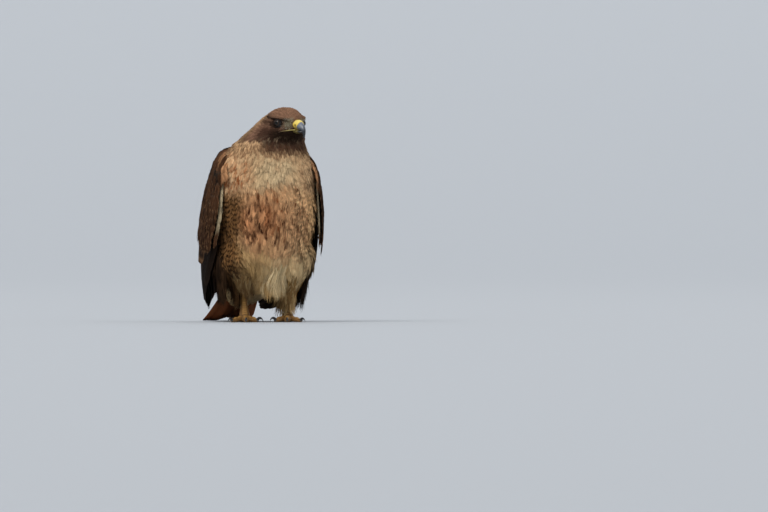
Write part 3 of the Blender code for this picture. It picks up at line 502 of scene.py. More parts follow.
skinMesh = meshOfSkin()
skinPoints = pointsOf(skinMesh)
headShare = smooth(skinPoints[:, 2], 0.285, 0.31)
depth = skinPlan["bodyDepth"] * (1 - headShare) + skinPlan["headDepth"] * headShare
skinPoints -= normalsOf(skinMesh) * depth[:, None]
browLine = np.array([(0.0300, 0.0118, 0.0068), (0.0240, 0.0176, 0.0084), (0.0140, 0.0236, 0.0098), (0.0030, 0.0262, 0.0108), (-0.0080, 0.0262, 0.0112)])
spots = inHead(skinPoints) * [1, 1, 1]
side = np.where(spots[:, 1] < 0, -1.0, 1.0)
gaps = np.linalg.norm((spots * [1, 0, 1] + np.abs(spots) * [0, 1, 0])[:, None] - curveAt(browLine, np.linspace(0, 1, 25))[None], axis=2).min(1)
eyeReach = np.linalg.norm(spots * [1, 0, 1] + np.abs(spots) * [0, 1, 0] - bird["eye"], axis=1)
skinPoints += headWay(0, 1, 0.25) * 0 + (side[:, None] * headWay(0, 1, 0) + 0.35 * headWay(0, 0, -1)) * (np.exp(-(gaps / 0.0034) ** 2) * 0.0022)[:, None]
skinPoints -= (side * (np.exp(-((eyeReach - 0.0088) / 0.0022) ** 2) * 0.0009))[:, None] * headWay(0, 1, 0)    # the eye's hollow
skinMesh.vertices.foreach_set("co", skinPoints.astype(np.float32).ravel())
skinMesh.update()
print("skin has", len(skinPoints), "points")


def unwrapSkin(mesh):
    holder = bpy.data.objects.new("unwrapping", mesh)
    bpy.context.scene.collection.objects.link(holder)
    bpy.context.view_layer.objects.active = holder
    holder.select_set(True)
    mesh.uv_layers.new(name="OFBake")
    bpy.ops.object.mode_set(mode="EDIT")
    bpy.ops.mesh.select_all(action="SELECT")
    bpy.ops.uv.smart_project(angle_limit=math.radians(66), island_margin=0.004)
    bpy.ops.object.mode_set(mode="OBJECT")
    bpy.data.objects.remove(holder)


unwrapSkin(skinMesh)
print("skin unwrapped")

# How feathers lie: their direction and size over the skin.

skinTree = BVHTree.FromPolygons(skinPoints.tolist(), [tuple(p.vertices) for p in skinMesh.polygons])


def onSkin(points):  # the nearest places on the skin, with their normals
    spots, ways = np.empty((len(points), 3)), np.empty((len(points), 3))
    for k, point in enumerate(points):
        spot, way, _, _ = skinTree.find_nearest(point)
        spots[k], ways[k] = spot, way
    return spots, ways


def lieOf(points, normals):  # which way the feathers point
    x, y, z = (points - shift).T
    ahead, side, up = inHead(points).T
    down = np.tile([0.0, 0.0, -1.0], (len(points), 1))
    down[:, 0] += 0.30 * np.sign(x) * smooth(np.abs(x), 0, 0.05) * smooth(z, 0.17, 0.27) - 0.22 * smooth(-z, -0.17, -0.09) * (x - 0.008) / 0.05
    down[:, 1] += 0.55 * smooth(y, 0.0, 0.05) + 0.25 * smooth(np.abs(x), 0.05, 0.085) * smooth(z, 0.06, 0.12)
    thigh = smooth(-z, -0.098, -0.070) * smooth(-y, -0.045, -0.015)
    footX = np.where(x > 0.007, 0.044, -0.030)
    toFoot = np.stack([(footX - x) * 1.1, -y * 0.4, -0.045 + 0 * z], 1)
    down = blend(down, unit(toFoot), thigh * 0.85)
    rump = smooth(y, 0.010, 0.035) * smooth(-z, -0.125, -0.095)
    down = blend(down, np.tile([0.0, 0.88, -0.47], (len(points), 1)), rump)
    fromBill = np.stack([ahead - 0.044, side, up + 0.002], 1)
    back = unit(fromBill) + np.array([-0.55, 0, 0]) + np.array([0, 0, -0.5]) * smooth(-up, -0.006, 0.012)[:, None]
    back = unit(back) @ headAxes.T
    onHead = smooth(z, 0.285, 0.312)
    nape = smooth(-ahead, 0.016, 0.040) * onHead
    way = blend(down, unit(back), onHead * (1 - 0.85 * nape))
    way += 0.16 * np.stack([ripple(points, 0.045, 21), ripple(points, 0.045, 22), ripple(points, 0.045, 23) * 0.5], 1)
    return unit(way - normals * (way * normals).sum(1, keepdims=True))


def lengthOf(points):  # how long the feathers are
    x, y, z = (points - shift).T
    ahead, side, up = inHead(points).T
    fromBill = np.linalg.norm(np.stack([ahead - 0.040, side, up + 0.003], 1), axis=1)
    head = np.clip(0.0026 + 0.125 * fromBill, 0.0036, 0.016)
    body = np.interp(z, [0.03, 0.06, 0.10, 0.15, 0.20, 0.25, 0.28, 0.31], [0.022, 0.028, 0.034, 0.033, 0.029, 0.023, 0.018, 0.014])
    body = body * (1 + 0.35 * smooth(y, 0.02, 0.05) * smooth(-z, -0.12, -0.08))
    return blend(body[:, None], head[:, None], smooth(z, 0.284, 0.312))[:, 0]


def scatterRoots(seed, spacingOf, keep):  # evenly spread places on the skin, closer where spacing is less
    rng = np.random.default_rng(seed)
    faces = np.array([tuple(p.vertices) for p in skinMesh.polygons])
    a, b, c, d = (skinPoints[faces[:, k]] for k in range(4))
    areas = 0.5 * np.linalg.norm(np.cross(c - a, d - b), axis=1)
    middle = (a + b + c + d) / 4
    spacing = spacingOf(middle)
    wanted = areas / spacing ** 2 * 9 * keep(middle)
    picks = rng.poisson(wanted)
    index = np.repeat(np.arange(len(faces)), picks)
    rng.shuffle(index)
    u, v = rng.uniform(0, 1, (2, len(index), 1))
    spots = (a[index] * (1 - u) + b[index] * u) * (1 - v) + (d[index] * (1 - u) + c[index] * u) * v
    gap = spacing[index]
    chosen, grid, cell = [], {}, 0.004
    for k, (spot, reach) in enumerate(zip(spots.tolist(), gap.tolist())):
        home = (int(spot[0] // cell), int(spot[1] // cell), int(spot[2] // cell))
        rings = int(reach // cell) + 1
        clear = True
        for i in range(home[0] - rings, home[0] + rings + 1):
            for j in range(home[1] - rings, home[1] + rings + 1):
                for m in range(home[2] - rings, home[2] + rings + 1):
                    for other in grid.get((i, j, m), ()):
                        if (spot[0] - other[0]) ** 2 + (spot[1] - other[1]) ** 2 + (spot[2] - other[2]) ** 2 < reach * reach:
                            clear = False
                            break
                    if not clear:
                        break
                if not clear:
                    break
            if not clear:
                break
        if clear:
            chosen.append(k)
            grid.setdefault(home, []).append(spot)
    chosen = np.array(chosen)
    uv = np.empty(len(skinMesh.loops) * 2, np.float32)
    skinMesh.uv_layers["OFBake"].data.foreach_get("uv", uv)
    uv = uv.reshape(-1, 4, 2)[index[chosen]]
    u, v = u[chosen], v[chosen]
    patch = (uv[:, 0] * (1 - u) + uv[:, 1] * u) * (1 - v) + (uv[:, 3] * (1 - u) + uv[:, 2] * u) * v
    return spots[chosen], patch


def layOnSkin(roots, lengths, stations, turn):  # each feather's middle line, walked over the skin
    spots, ways = onSkin(roots)
    line, outward = [spots], [ways]
    for _ in range(stations - 1):
        lie = lieOf(spots, ways)
        lie = unit(lie + np.cross(ways, lie) * turn[:, None])
        spots, fresh = onSkin(spots + lie * (lengths / (stations - 1))[:, None])
        ways = unit(ways * 0.45 + fresh * 0.55)
        line.append(spots)
        outward.append(ways)
    return np.stack(line, 1), np.stack(outward, 1)


# Feather shapes.
# A shape is a set of points: s along the feather, w across it in half widths, h above it in half
# widths, with the faces between them and a number for the lock of barbs that each point is in.

def strandShape(path, widths, heights, lock):  # one lock of barbs along a path of (s, w)
    path = np.asarray(path, float)
    run = np.gradient(path, axis=0) * [2.6, 1.0]
    across = unit(np.stack([-run[:, 1], run[:, 0]], 1)) / [2.6, 1.0]
    left, right = path - across * widths[:, None], path + across * widths[:, None]
    points = np.stack([left, right], 1).reshape(-1, 2)
    height = np.repeat(heights, 2)
    k = np.arange(len(path) - 1) * 2
    quads = np.stack([k, k + 1, k + 3, k + 2], 1)
    return np.column_stack([points, height, np.full(len(points), lock)]), quads


def joinShapes(shapes):
    tables, quads, count = [], [], 0
    for table, faces in shapes:
        tables.append(table)
        quads.append(faces + count)
        count += len(table)
    table = np.vstack(tables)
    return {"s": table[:, 0], "w": table[:, 1], "h": table[:, 2], "lock": table[:, 3], "quads": np.vstack(quads)}


def softShape(seed, pairs, steps, spread, fray):  # a body feather: loose locks that fan from the shaft
    rng = np.random.default_rng(seed)
    t = np.linspace(0, 1, steps)
    shapes = []
    s = np.linspace(0, 0.80, 4)
    body = np.array([0.16, 0.50, 0.62, 0.30])
    rows = np.stack([np.column_stack([s, -body]), np.column_stack([s, 0 * body]), np.column_stack([s, body])], 1).reshape(-1, 2)
    rise = np.tile([-0.10, 0.0, -0.10], 4)
    k = np.arange(3)[:, None] * 3 + np.arange(2)
    k = k.ravel()
    shapes.append((np.column_stack([rows, rise, np.zeros(12)]), np.stack([k, k + 1, k + 4, k + 3], 1)))
    for pair in range(pairs):
        share = (pair + 0.5) / pairs
        for sign in (-1, 1):
            start = 0.05 + 0.60 * share + rng.uniform(-0.03, 0.03)
            reach = min(1.0, start + 0.34 + 0.10 * (1 - share)) + rng.uniform(-0.06, 0.03) * fray
            wide = spread * math.sin(math.pi * min(0.97, 0.20 + 0.70 * share ** 0.8)) ** 0.7 * (1 - 0.55 * share ** 3)
            wide *= 1 + rng.uniform(-0.14, 0.10) * fray
            path = np.column_stack([start + (reach - start) * t, sign * wide * t ** 0.75])
            widths = (0.20 - 0.03 * share) * (1 - 0.92 * t ** 1.6)
            heights = 0.03 + 0.05 * rng.uniform(-1, 1) + 0.06 * (1 - t) - 0.05 * t * abs(wide)
            shapes.append(strandShape(path, widths, heights, rng.uniform(-1, 1)))
    path = np.column_stack([0.42 + 0.60 * t, 0.10 * rng.uniform(-1, 1) * t])
    shapes.append(strandShape(path, 0.17 * (1 - 0.9 * t ** 1.8), 0.09 + 0 * t, rng.uniform(-1, 1)))
    return joinShapes(shapes)


def wispShape(seed, strands, steps):  # long loose leg and belly plumes
    rng = np.random.default_rng(seed)
    t = np.linspace(0, 1, steps)
    shapes = []
    for k in range(strands):
        wide = (2 * (k + 0.5) / strands - 1) * 0.85 + rng.uniform(-0.1, 0.1)
        reach = (1.0 - 0.30 * wide ** 2) * rng.uniform(0.72, 1.05)
        path = np.column_stack([reach * t, wide * (0.25 + 0.75 * np.sin(t * 2.2) / math.sin(2.2)) * t ** 0.5 + rng.uniform(-0.2, 0.2) * t ** 2])
        shapes.append(strandShape(path, 0.17 * (1 - 0.93 * t ** 1.4), rng.uniform(-0.10, 0.10) + 0.12 * t * rng.uniform(-1, 1), rng.uniform(-1, 1)))
    return joinShapes(shapes)


def vaneShape(seed, rows, tip, splits, notch):  # a firm vane with a shaft, a rounded tip and a few splits
    rng = np.random.default_rng(seed)
    columns = np.array([-1, -0.72, -0.38, -0.07, 0.07, 0.38, 0.72, 1])
    s = np.linspace(0, 1, rows) ** 0.9
    width = np.minimum(1, 0.22 + 1.9 * s) * np.sqrt(np.clip(1 - np.clip((s - tip) / (1 - tip + 0.004), 0, 1) ** 2.2, 0.015, 1))
    grid = np.zeros((rows, 8, 4))
    grid[:, :, 0] = s[:, None] + 0.030 * np.abs(columns) * (1 - s[:, None] ** 2)
    grid[:, :, 1] = columns * width[:, None]
    grid[:, :, 1][:, 3:5] = columns[3:5] * np.maximum(0.25, 1 - 0.8 * s)[:, None] * np.minimum(1, width[:, None] * 3)
    grid[:, :, 2] = 0.04 * (np.abs(columns) < 0.1) - 0.10 * columns ** 2
    grid[:, :, 3] = rng.uniform(-0.4, 0.4, (rows, 1))
    for _ in range(splits):
        row, side = rng.integers(rows // 3, rows - 1), rng.integers(0, 2)
        deep = rng.uniform(0.4, 1.0) * notch
        edge = slice(0, 2) if side == 0 else slice(6, 8)
        grid[row, edge, 1] *= 1 - deep * np.array([1.0, 0.4] if side == 0 else [0.4, 1.0])
        grid[row, edge, 0] += 0.02
    table = grid.reshape(-1, 4)
    k = (np.arange(rows - 1)[:, None] * 8 + np.arange(7)).ravel()
    return {"s": table[:, 0], "w": table[:, 1], "h": table[:, 2], "lock": table[:, 3],
            "quads": np.stack([k, k + 1, k + 9, k + 8], 1)}


def growVanes(lines, outward, halfWidths, shape, lift, tilt, cup):  # every point of every feather
    n, count = lines.shape[:2]
    run = unit(np.gradient(lines, axis=1))
    side = unit(np.cross(run, outward))
    spot = np.clip(shape["s"], 0, 1) * (count - 1)
    k = np.minimum(spot.astype(int), count - 2)
    f = (spot - k)[None, :, None]
    middle = lines[:, k] * (1 - f) + lines[:, k + 1] * f
    beyond = np.clip(shape["s"] - 1, 0, None)[None, :, None] * np.linalg.norm(lines[:, -1] - lines[:, 0], axis=1)[:, None, None]
    middle = middle + run[:, -1:] * beyond
    normal = unit(outward[:, k] * (1 - f) + outward[:, k + 1] * f)
    across = unit(side[:, k] * (1 - f) + side[:, k + 1] * f)
    w = shape["w"][None] * halfWidths[:, None]
    height = lift(np.clip(shape["s"], 0, 1)[None]) + shape["h"][None] * halfWidths[:, None]
    height = height + tilt[:, None] * w - cup * (w ** 2) / np.maximum(halfWidths[:, None], 1e-6)
    return middle + across * w[..., None] + normal * height[..., None]


def patchMap(patches, shape, size):  # each feather is one small patch of the bake, at its root's place
    inside = np.clip(patches, 0.0, 1.0 - size)
    return inside[:, None] + np.stack([np.clip(shape["w"] * 0.5 + 0.5, 0, 1), np.clip(shape["s"], 0, 1)], 1)[None] * size


def gather(batches):  # joins the arrays of many batches of feathers
    points, quads, tint, vane, patch, count = [], [], [], [], [], 0
    for batch in batches:
        n, m = batch["points"].shape[:2]
        points.append(batch["points"].reshape(-1, 3))
        quads.append((batch["shape"]["quads"][None] + (np.arange(n) * m)[:, None, None]).reshape(-1, 4) + count)
        tint.append(batch["tint"].reshape(-1, 3))
        local = np.stack([batch["shape"]["w"] * 0.5 + 0.5, batch["shape"]["s"]], 1)
        vane.append(np.tile(local, (n, 1)))
        patch.append(batch["patch"].reshape(-1, 2))
        count += n * m
    return map(np.vstack, (points, quads, tint, vane, patch))


def coatPiece(name, batches, material, replaces=()):
    points, quads, tint, vane, patch = gather(batches)
    piece = addPiece(name, meshFrom(name, points, quads, tint, {"vane": vane, "OFBake": patch}), material, replaces)
    print(name, len(quads) * 2, "triangles")
    return piece

# The folded wings' surface, on which their feathers lie.

wingPlan = {
    "leading": [(0.060, -0.036, 0.278), (0.077, -0.045, 0.254), (0.082, -0.049, 0.215), (0.087, -0.042, 0.172),
                (0.092, -0.023, 0.130), (0.094, 0.009, 0.090), (0.089, 0.049, 0.055), (0.077, 0.098, 0.030),
                (0.061, 0.149, 0.017), (0.049, 0.189, 0.011)],
    "trailing": [(0.048, -0.002, 0.290), (0.055, 0.027, 0.277), (0.042, 0.056, 0.241), (0.028, 0.078, 0.204),
                 (0.018, 0.094, 0.169), (0.014, 0.112, 0.138), (0.016, 0.136, 0.106), (0.024, 0.161, 0.077),
                 (0.033, 0.182, 0.054), (0.040, 0.200, 0.036)],
    "bulge": [[0.001], [0.0110], [0.0235], [0.033], [0.037], [0.035], [0.027], [0.014], [0.005], [0.002]],
}


def wingSpot(along, across):  # a place on the left wing's face, along from the shoulder and across from the front edge
    a, b = curveAt(wingPlan["leading"], along), curveAt(wingPlan["trailing"], along)
    ahead = np.minimum(along + 0.01, 1.0)
    run = curveAt(wingPlan["leading"], ahead) + curveAt(wingPlan["trailing"], ahead)
    run = run - curveAt(wingPlan["leading"], ahead - 0.02) - curveAt(wingPlan["trailing"], ahead - 0.02)
    out = unit(np.cross(b - a, run))
    out = out * np.sign(out[..., :1])
    across = across[..., None]
    return a + (b - a) * across + out * curveAt(wingPlan["bulge"], along) * 4 * across * (1 - across)


def wingFrame(along, across):
    step = 0.01
    low, high = np.maximum(along - step, 0.0), np.minimum(along + step, 1.0)
    down = (wingSpot(high, across) - wingSpot(low, across)) / (high - low)[..., None]
    over = (wingSpot(along, across + step) - wingSpot(along, across - step)) / (2 * step)
    out = unit(np.cross(over, down))
    out = out * np.sign(out @ np.array([1.0, 0.3, 0.3]))[..., None]
    return wingSpot(along, across), out


gridAlong, gridAcross = np.meshgrid(np.linspace(0, 1, 41), np.linspace(0, 1, 17), indexing="ij")
wingGrid = wingSpot(gridAlong, gridAcross)
k = (np.arange(40)[:, None] * 17 + np.arange(16)).ravel()
wingQuads = np.stack([k, k + 1, k + 18, k + 17], 1)
wingTrees = {}
for name, sign in (("left", 1), ("right", -1)):
    spots = wingGrid.reshape(-1, 3) * [sign, 1, 1] + shift
    wingTrees[name] = BVHTree.FromPolygons(spots.tolist(), wingQuads.tolist())


def underWing(roots, ways):  # true where a wing lies well over the skin
    hidden = np.zeros(len(roots), bool)
    for k, (root, way) in enumerate(zip(roots, ways)):
        for name, sign in (("left", 1), ("right", -1)):
            if root[0] * sign < 0.005:
                continue
            spot, _, face, reach = wingTrees[name].ray_cast(Vector(root) - Vector(way) * 0.012, Vector(way), 0.09)
            if spot is not None:
                across, along = (face % 16 + 0.5) / 16, (face // 16 + 0.5) / 40
                if along > 0.05 and 0.20 < across < 0.80:
                    hidden[k] = True
    return hidden


# The soft coat.

coatPlan = {
    "headSpacing": 0.215, "bodySpacing": 0.155, "seed": 7,
    "widthShare": 0.30,          # half width of a body feather in its lengths
    "headWidthShare": 0.25,
    "lift": 0.0045,
}
shapes = {
    "soft": [softShape(40 + k, 7, 4, 0.80, 1.0) for k in range(6)],
    "face": [softShape(60 + k, 3, 4, 0.75, 1.0) for k in range(6)],
    "wisp": [wispShape(80 + k, 9, 6) for k in range(6)],
}


def spacingAt(points):
    z = points[:, 2]
    share = coatPlan["bodySpacing"] + (coatPlan["headSpacing"] - coatPlan["bodySpacing"]) * smooth(z, 0.284, 0.312)
    return lengthOf(points) * share


def everywhere(points):
    ahead, side, up = inHead(points).T
    bill = (ahead > 0.0338) & (up < 0.0078) & (up > -0.0155) & (np.abs(side) < 0.0098)
    look = unit(np.array(bird["eyeLook"]))
    away = np.stack([ahead, np.abs(side), up], 1) - bird["eye"]
    eye = (np.linalg.norm(away - (away @ look)[:, None] * look, axis=1) < 0.0073) & (away @ look > -0.004)
    return np.where(bill | eye, 0.0, 1.0)


roots, patches = scatterRoots(coatPlan["seed"], spacingAt, everywhere)
_, ways = onSkin(roots)
seen = ~underWing(roots, ways)
roots, patches, ways = roots[seen], patches[seen], ways[seen]
print(len(roots), "body feathers")
x, y, z = (roots - shift).T
tract = np.full(len(roots), "breast", dtype=object)
tract[(y > 0.0) & (z > 0.10)] = "back"
tract[(z < 0.165) & (y <= 0.0)] = "belly"
tract[(z < 0.098) & (np.abs(x - 0.007) > 0.010) & (y < 0.030)] = "leg"
tract[(z < 0.120) & (y > 0.012) & (tract != "leg")] = "vent"
tract[(z < 0.098) & (y > 0.020)] = "vent"
tract[(x > 0.054) & (y > -0.070) & (y < -0.004) & (z > 0.105) & (z < 0.212)] = "side"      # they stand out over the far wing's edge
tract[z > 0.283] = "neck"
tract[(z > 0.300) & (y < 0.020)] = "head"


def growTract(name, which, shapeSet, widthShare, liftTo, turnSpread, lengthGain=1.0, cup=0.25, liftShare=0.22):
    chosen = np.flatnonzero(tract == which)
    rng = np.random.default_rng(len(name) * 101 + len(chosen))
    picks = rng.integers(0, len(shapeSet), len(chosen))
    batches = []
    for k, shape in enumerate(shapeSet):
        part = chosen[picks == k]
        if not len(part):
            continue
        spots = roots[part]
        lengths = lengthOf(spots) * rng.uniform(0.85, 1.15, len(part)) * lengthGain
        lines, outward = layOnSkin(spots, lengths, 5, rng.normal(0, turnSpread, len(part)))
        rise = rng.uniform(0.75, 1.25, (len(part), 1)) * np.minimum(liftTo, lengths * liftShare)[:, None]
        points = growVanes(lines, outward, lengths * widthShare * rng.uniform(0.85, 1.15, len(part)), shape,
                           lambda s: rise * (s ** 0.75) - 0.0008 * (1 - s), rng.normal(0, 0.10, len(part)), cup)
        marks = plumageAt(lines[:, 3])                                   # marked by where the feather shows
        marks["phase"] = barPhase(points)
        tint = featherColours(marks, shape["s"], shape["w"], shape["lock"], rng)
        batches.append({"points": points, "shape": shape, "tint": tint, "patch": patchMap(patches[part], shape, 0.003)})
    return batches


skinPiece = addPiece("skin", skinMesh, softPlumage,
                     ("head", "neck", "torso", "undertail_coverts", "thigh_left", "thigh_right"))
marks = plumageAt(skinPoints)
# Painted shade: the skin takes the coat's colours darkened to 0.72, as deep under the feathers.
giveTint(skinMesh, blend(marks["base"], marks["streak"], 0.35 * marks["streakShare"]) * 0.72)
skinMesh.uv_layers.new(name="vane")
skinMesh.uv_layers.active = skinMesh.uv_layers["OFBake"]
skinMesh.shade_smooth()
coatPiece("headFeathers", growTract("head", "head", shapes["face"], 0.27, 0.0020, 0.10), softPlumage)
coatPiece("neckFeathers", growTract("neck", "neck", shapes["soft"], 0.27, 0.0034, 0.10), softPlumage)
coatPiece("breastFeathers", growTract("breast", "breast", shapes["soft"], 0.26, 0.0050, 0.09), softPlumage)
coatPiece("flankFeathers", growTract("side", "side", shapes["soft"], 0.26, 0.0115, 0.09, 1.1, liftShare=0.40), softPlumage)
coatPiece("bellyFeathers", growTract("belly", "belly", shapes["soft"], 0.25, 0.0056, 0.10), softPlumage)
coatPiece("legFeathers", growTract("leg", "leg", shapes["wisp"], 0.24, 0.0050, 0.14, 1.05), softPlumage)
coatPiece("ventFeathers", growTract("vent", "vent", shapes["wisp"], 0.24, 0.0050, 0.10, 1.15), softPlumage)
coatPiece("backFeathers", growTract("back", "back", shapes["soft"], 0.30, 0.0050, 0.08), softPlumage)

# The wings, tier by tier.

wingTones = {
    "quill": paint(29, 20, 14), "quillEdge": paint(70, 50, 35), "flight": paint(50, 34, 23), "flightBar": paint(26, 18, 13),
    "covert": paint(72, 47, 30), "covertEdge": paint(176, 132, 94), "shoulder": paint(84, 54, 35),
    "shoulderEdge": paint(192, 146, 106), "scapular": paint(72, 50, 34), "scapularEdge": paint(172, 134, 96),
    "rim": paint(176, 158, 126), "shaft": paint(20, 14, 10), "cape": paint(190, 140, 98), "capeDark": paint(96, 62, 40),
}
# count, root (along, across) of the first and last, tip of the first and last, half width, lift, tilt, sink
wingTiers = {
    "primaries": (10, (0.27, 0.03), (0.27, 0.42), None, None, 0.0098, -0.0030, 0.0015, 0.0040),
    "secondaries": (9, (0.26, 0.26), (0.26, 0.76), (0.585, 0.17), (0.655, 0.80), 0.0125, 0.0006, 0.0014, 0.0050),
    "tertials": (4, (0.21, 0.70), (0.21, 0.92), (0.625, 0.82), (0.50, 0.985), 0.0140, 0.0042, 0.0014, 0.0060),
    "primaryCoverts": (6, (0.20, 0.05), (0.20, 0.20), (0.470, 0.035), (0.425, 0.17), 0.0074, 0.0034, 0.0010, 0.0080),
    "alula": (4, (0.10, 0.04), (0.10, 0.14), (0.335, 0.01), (0.265, 0.12), 0.0070, 0.0058, 0.0008, 0.0090),
    "greaterCoverts": (15, (0.22, 0.20), (0.22, 0.93), (0.390, 0.19), (0.430, 0.94), 0.0084, 0.0040, 0.0012, 0.0080),
    "medianCoverts": (16, (0.14, 0.14), (0.14, 0.95), (0.290, 0.13), (0.320, 0.96), 0.0078, 0.0052, 0.0011, 0.0075),
}
primaryTips = [(0.650, 0.015), (0.745, 0.07), (0.85, 0.16), (0.945, 0.30), (0.995, 0.50), (0.965, 0.72), (0.90, 0.86)]
quillShape = {"quill": [vaneShape(100 + k, 26, 0.80, 5, 0.30) for k in range(4)],
              "covert": [vaneShape(120 + k, 10, 0.62, 3, 0.32) for k in range(6)],
              "round": [vaneShape(140 + k, 8, 0.50, 3, 0.38) for k in range(6)],
              "soft": [softShape(170 + k, 7, 4, 0.92, 0.5) for k in range(6)]}


def quillMarks(n, base, edge, edgeShare, streakShare=0.5, bars=0.0, barCount=7.0, rng=None, spread=0.10):
    vary = 1 + rng.normal(0, spread, (n, 1))
    return {"base": np.tile(base, (n, 1)) * vary, "edge": np.tile(edge, (n, 1)), "edgeShare": np.full(n, edgeShare),
            "streak": np.tile(wingTones["shaft"], (n, 1)), "streakShare": np.full(n, streakShare),
            "streakWidth": np.full(n, 0.09), "bar": np.tile(wingTones["flightBar"], (n, 1)),
            "barShare": np.full(n, bars), "bars": np.full(n, barCount), "rim": (0.70, 0.95, 0.88)}


def quillBatch(along, across, halfWidths, lift, tilt, sink, marks, shape, sign, rng, bow=0.0, cup=0.10, size=0.02):
    stations = along.shape[1]
    s = np.linspace(0, 1, stations)
    across = across + bow * np.sin(math.pi * s)
    lines, outward = wingFrame(along, across)
    points = growVanes(lines, outward, halfWidths, shape,
                       lambda t: lift[:, None] - sink * np.clip(1 - t / 0.22, 0, None), tilt, cup)
    tint = featherColours(marks, shape["s"], shape["w"], shape["lock"], rng)
    patches = np.stack([across[:, 0], along[:, 0]], 1)
    shape = dict(shape)
    if sign < 0:
        points = points * [-1, 1, 1]
        shape["quads"] = shape["quads"][:, ::-1]
    return {"points": points + shift, "shape": shape, "tint": tint, "patch": patchMap(patches, shape, size)}


def pathsBetween(roots, tips, stations=9):
    s = np.linspace(0, 1, stations)[None]
    return [roots[:, k, None] * (1 - s) + tips[:, k, None] * s for k in (0, 1)]


def spreadRow(first, last, count):
    return np.array(first) + (np.array(last) - np.array(first)) * np.linspace(0, 1, count)[:, None]


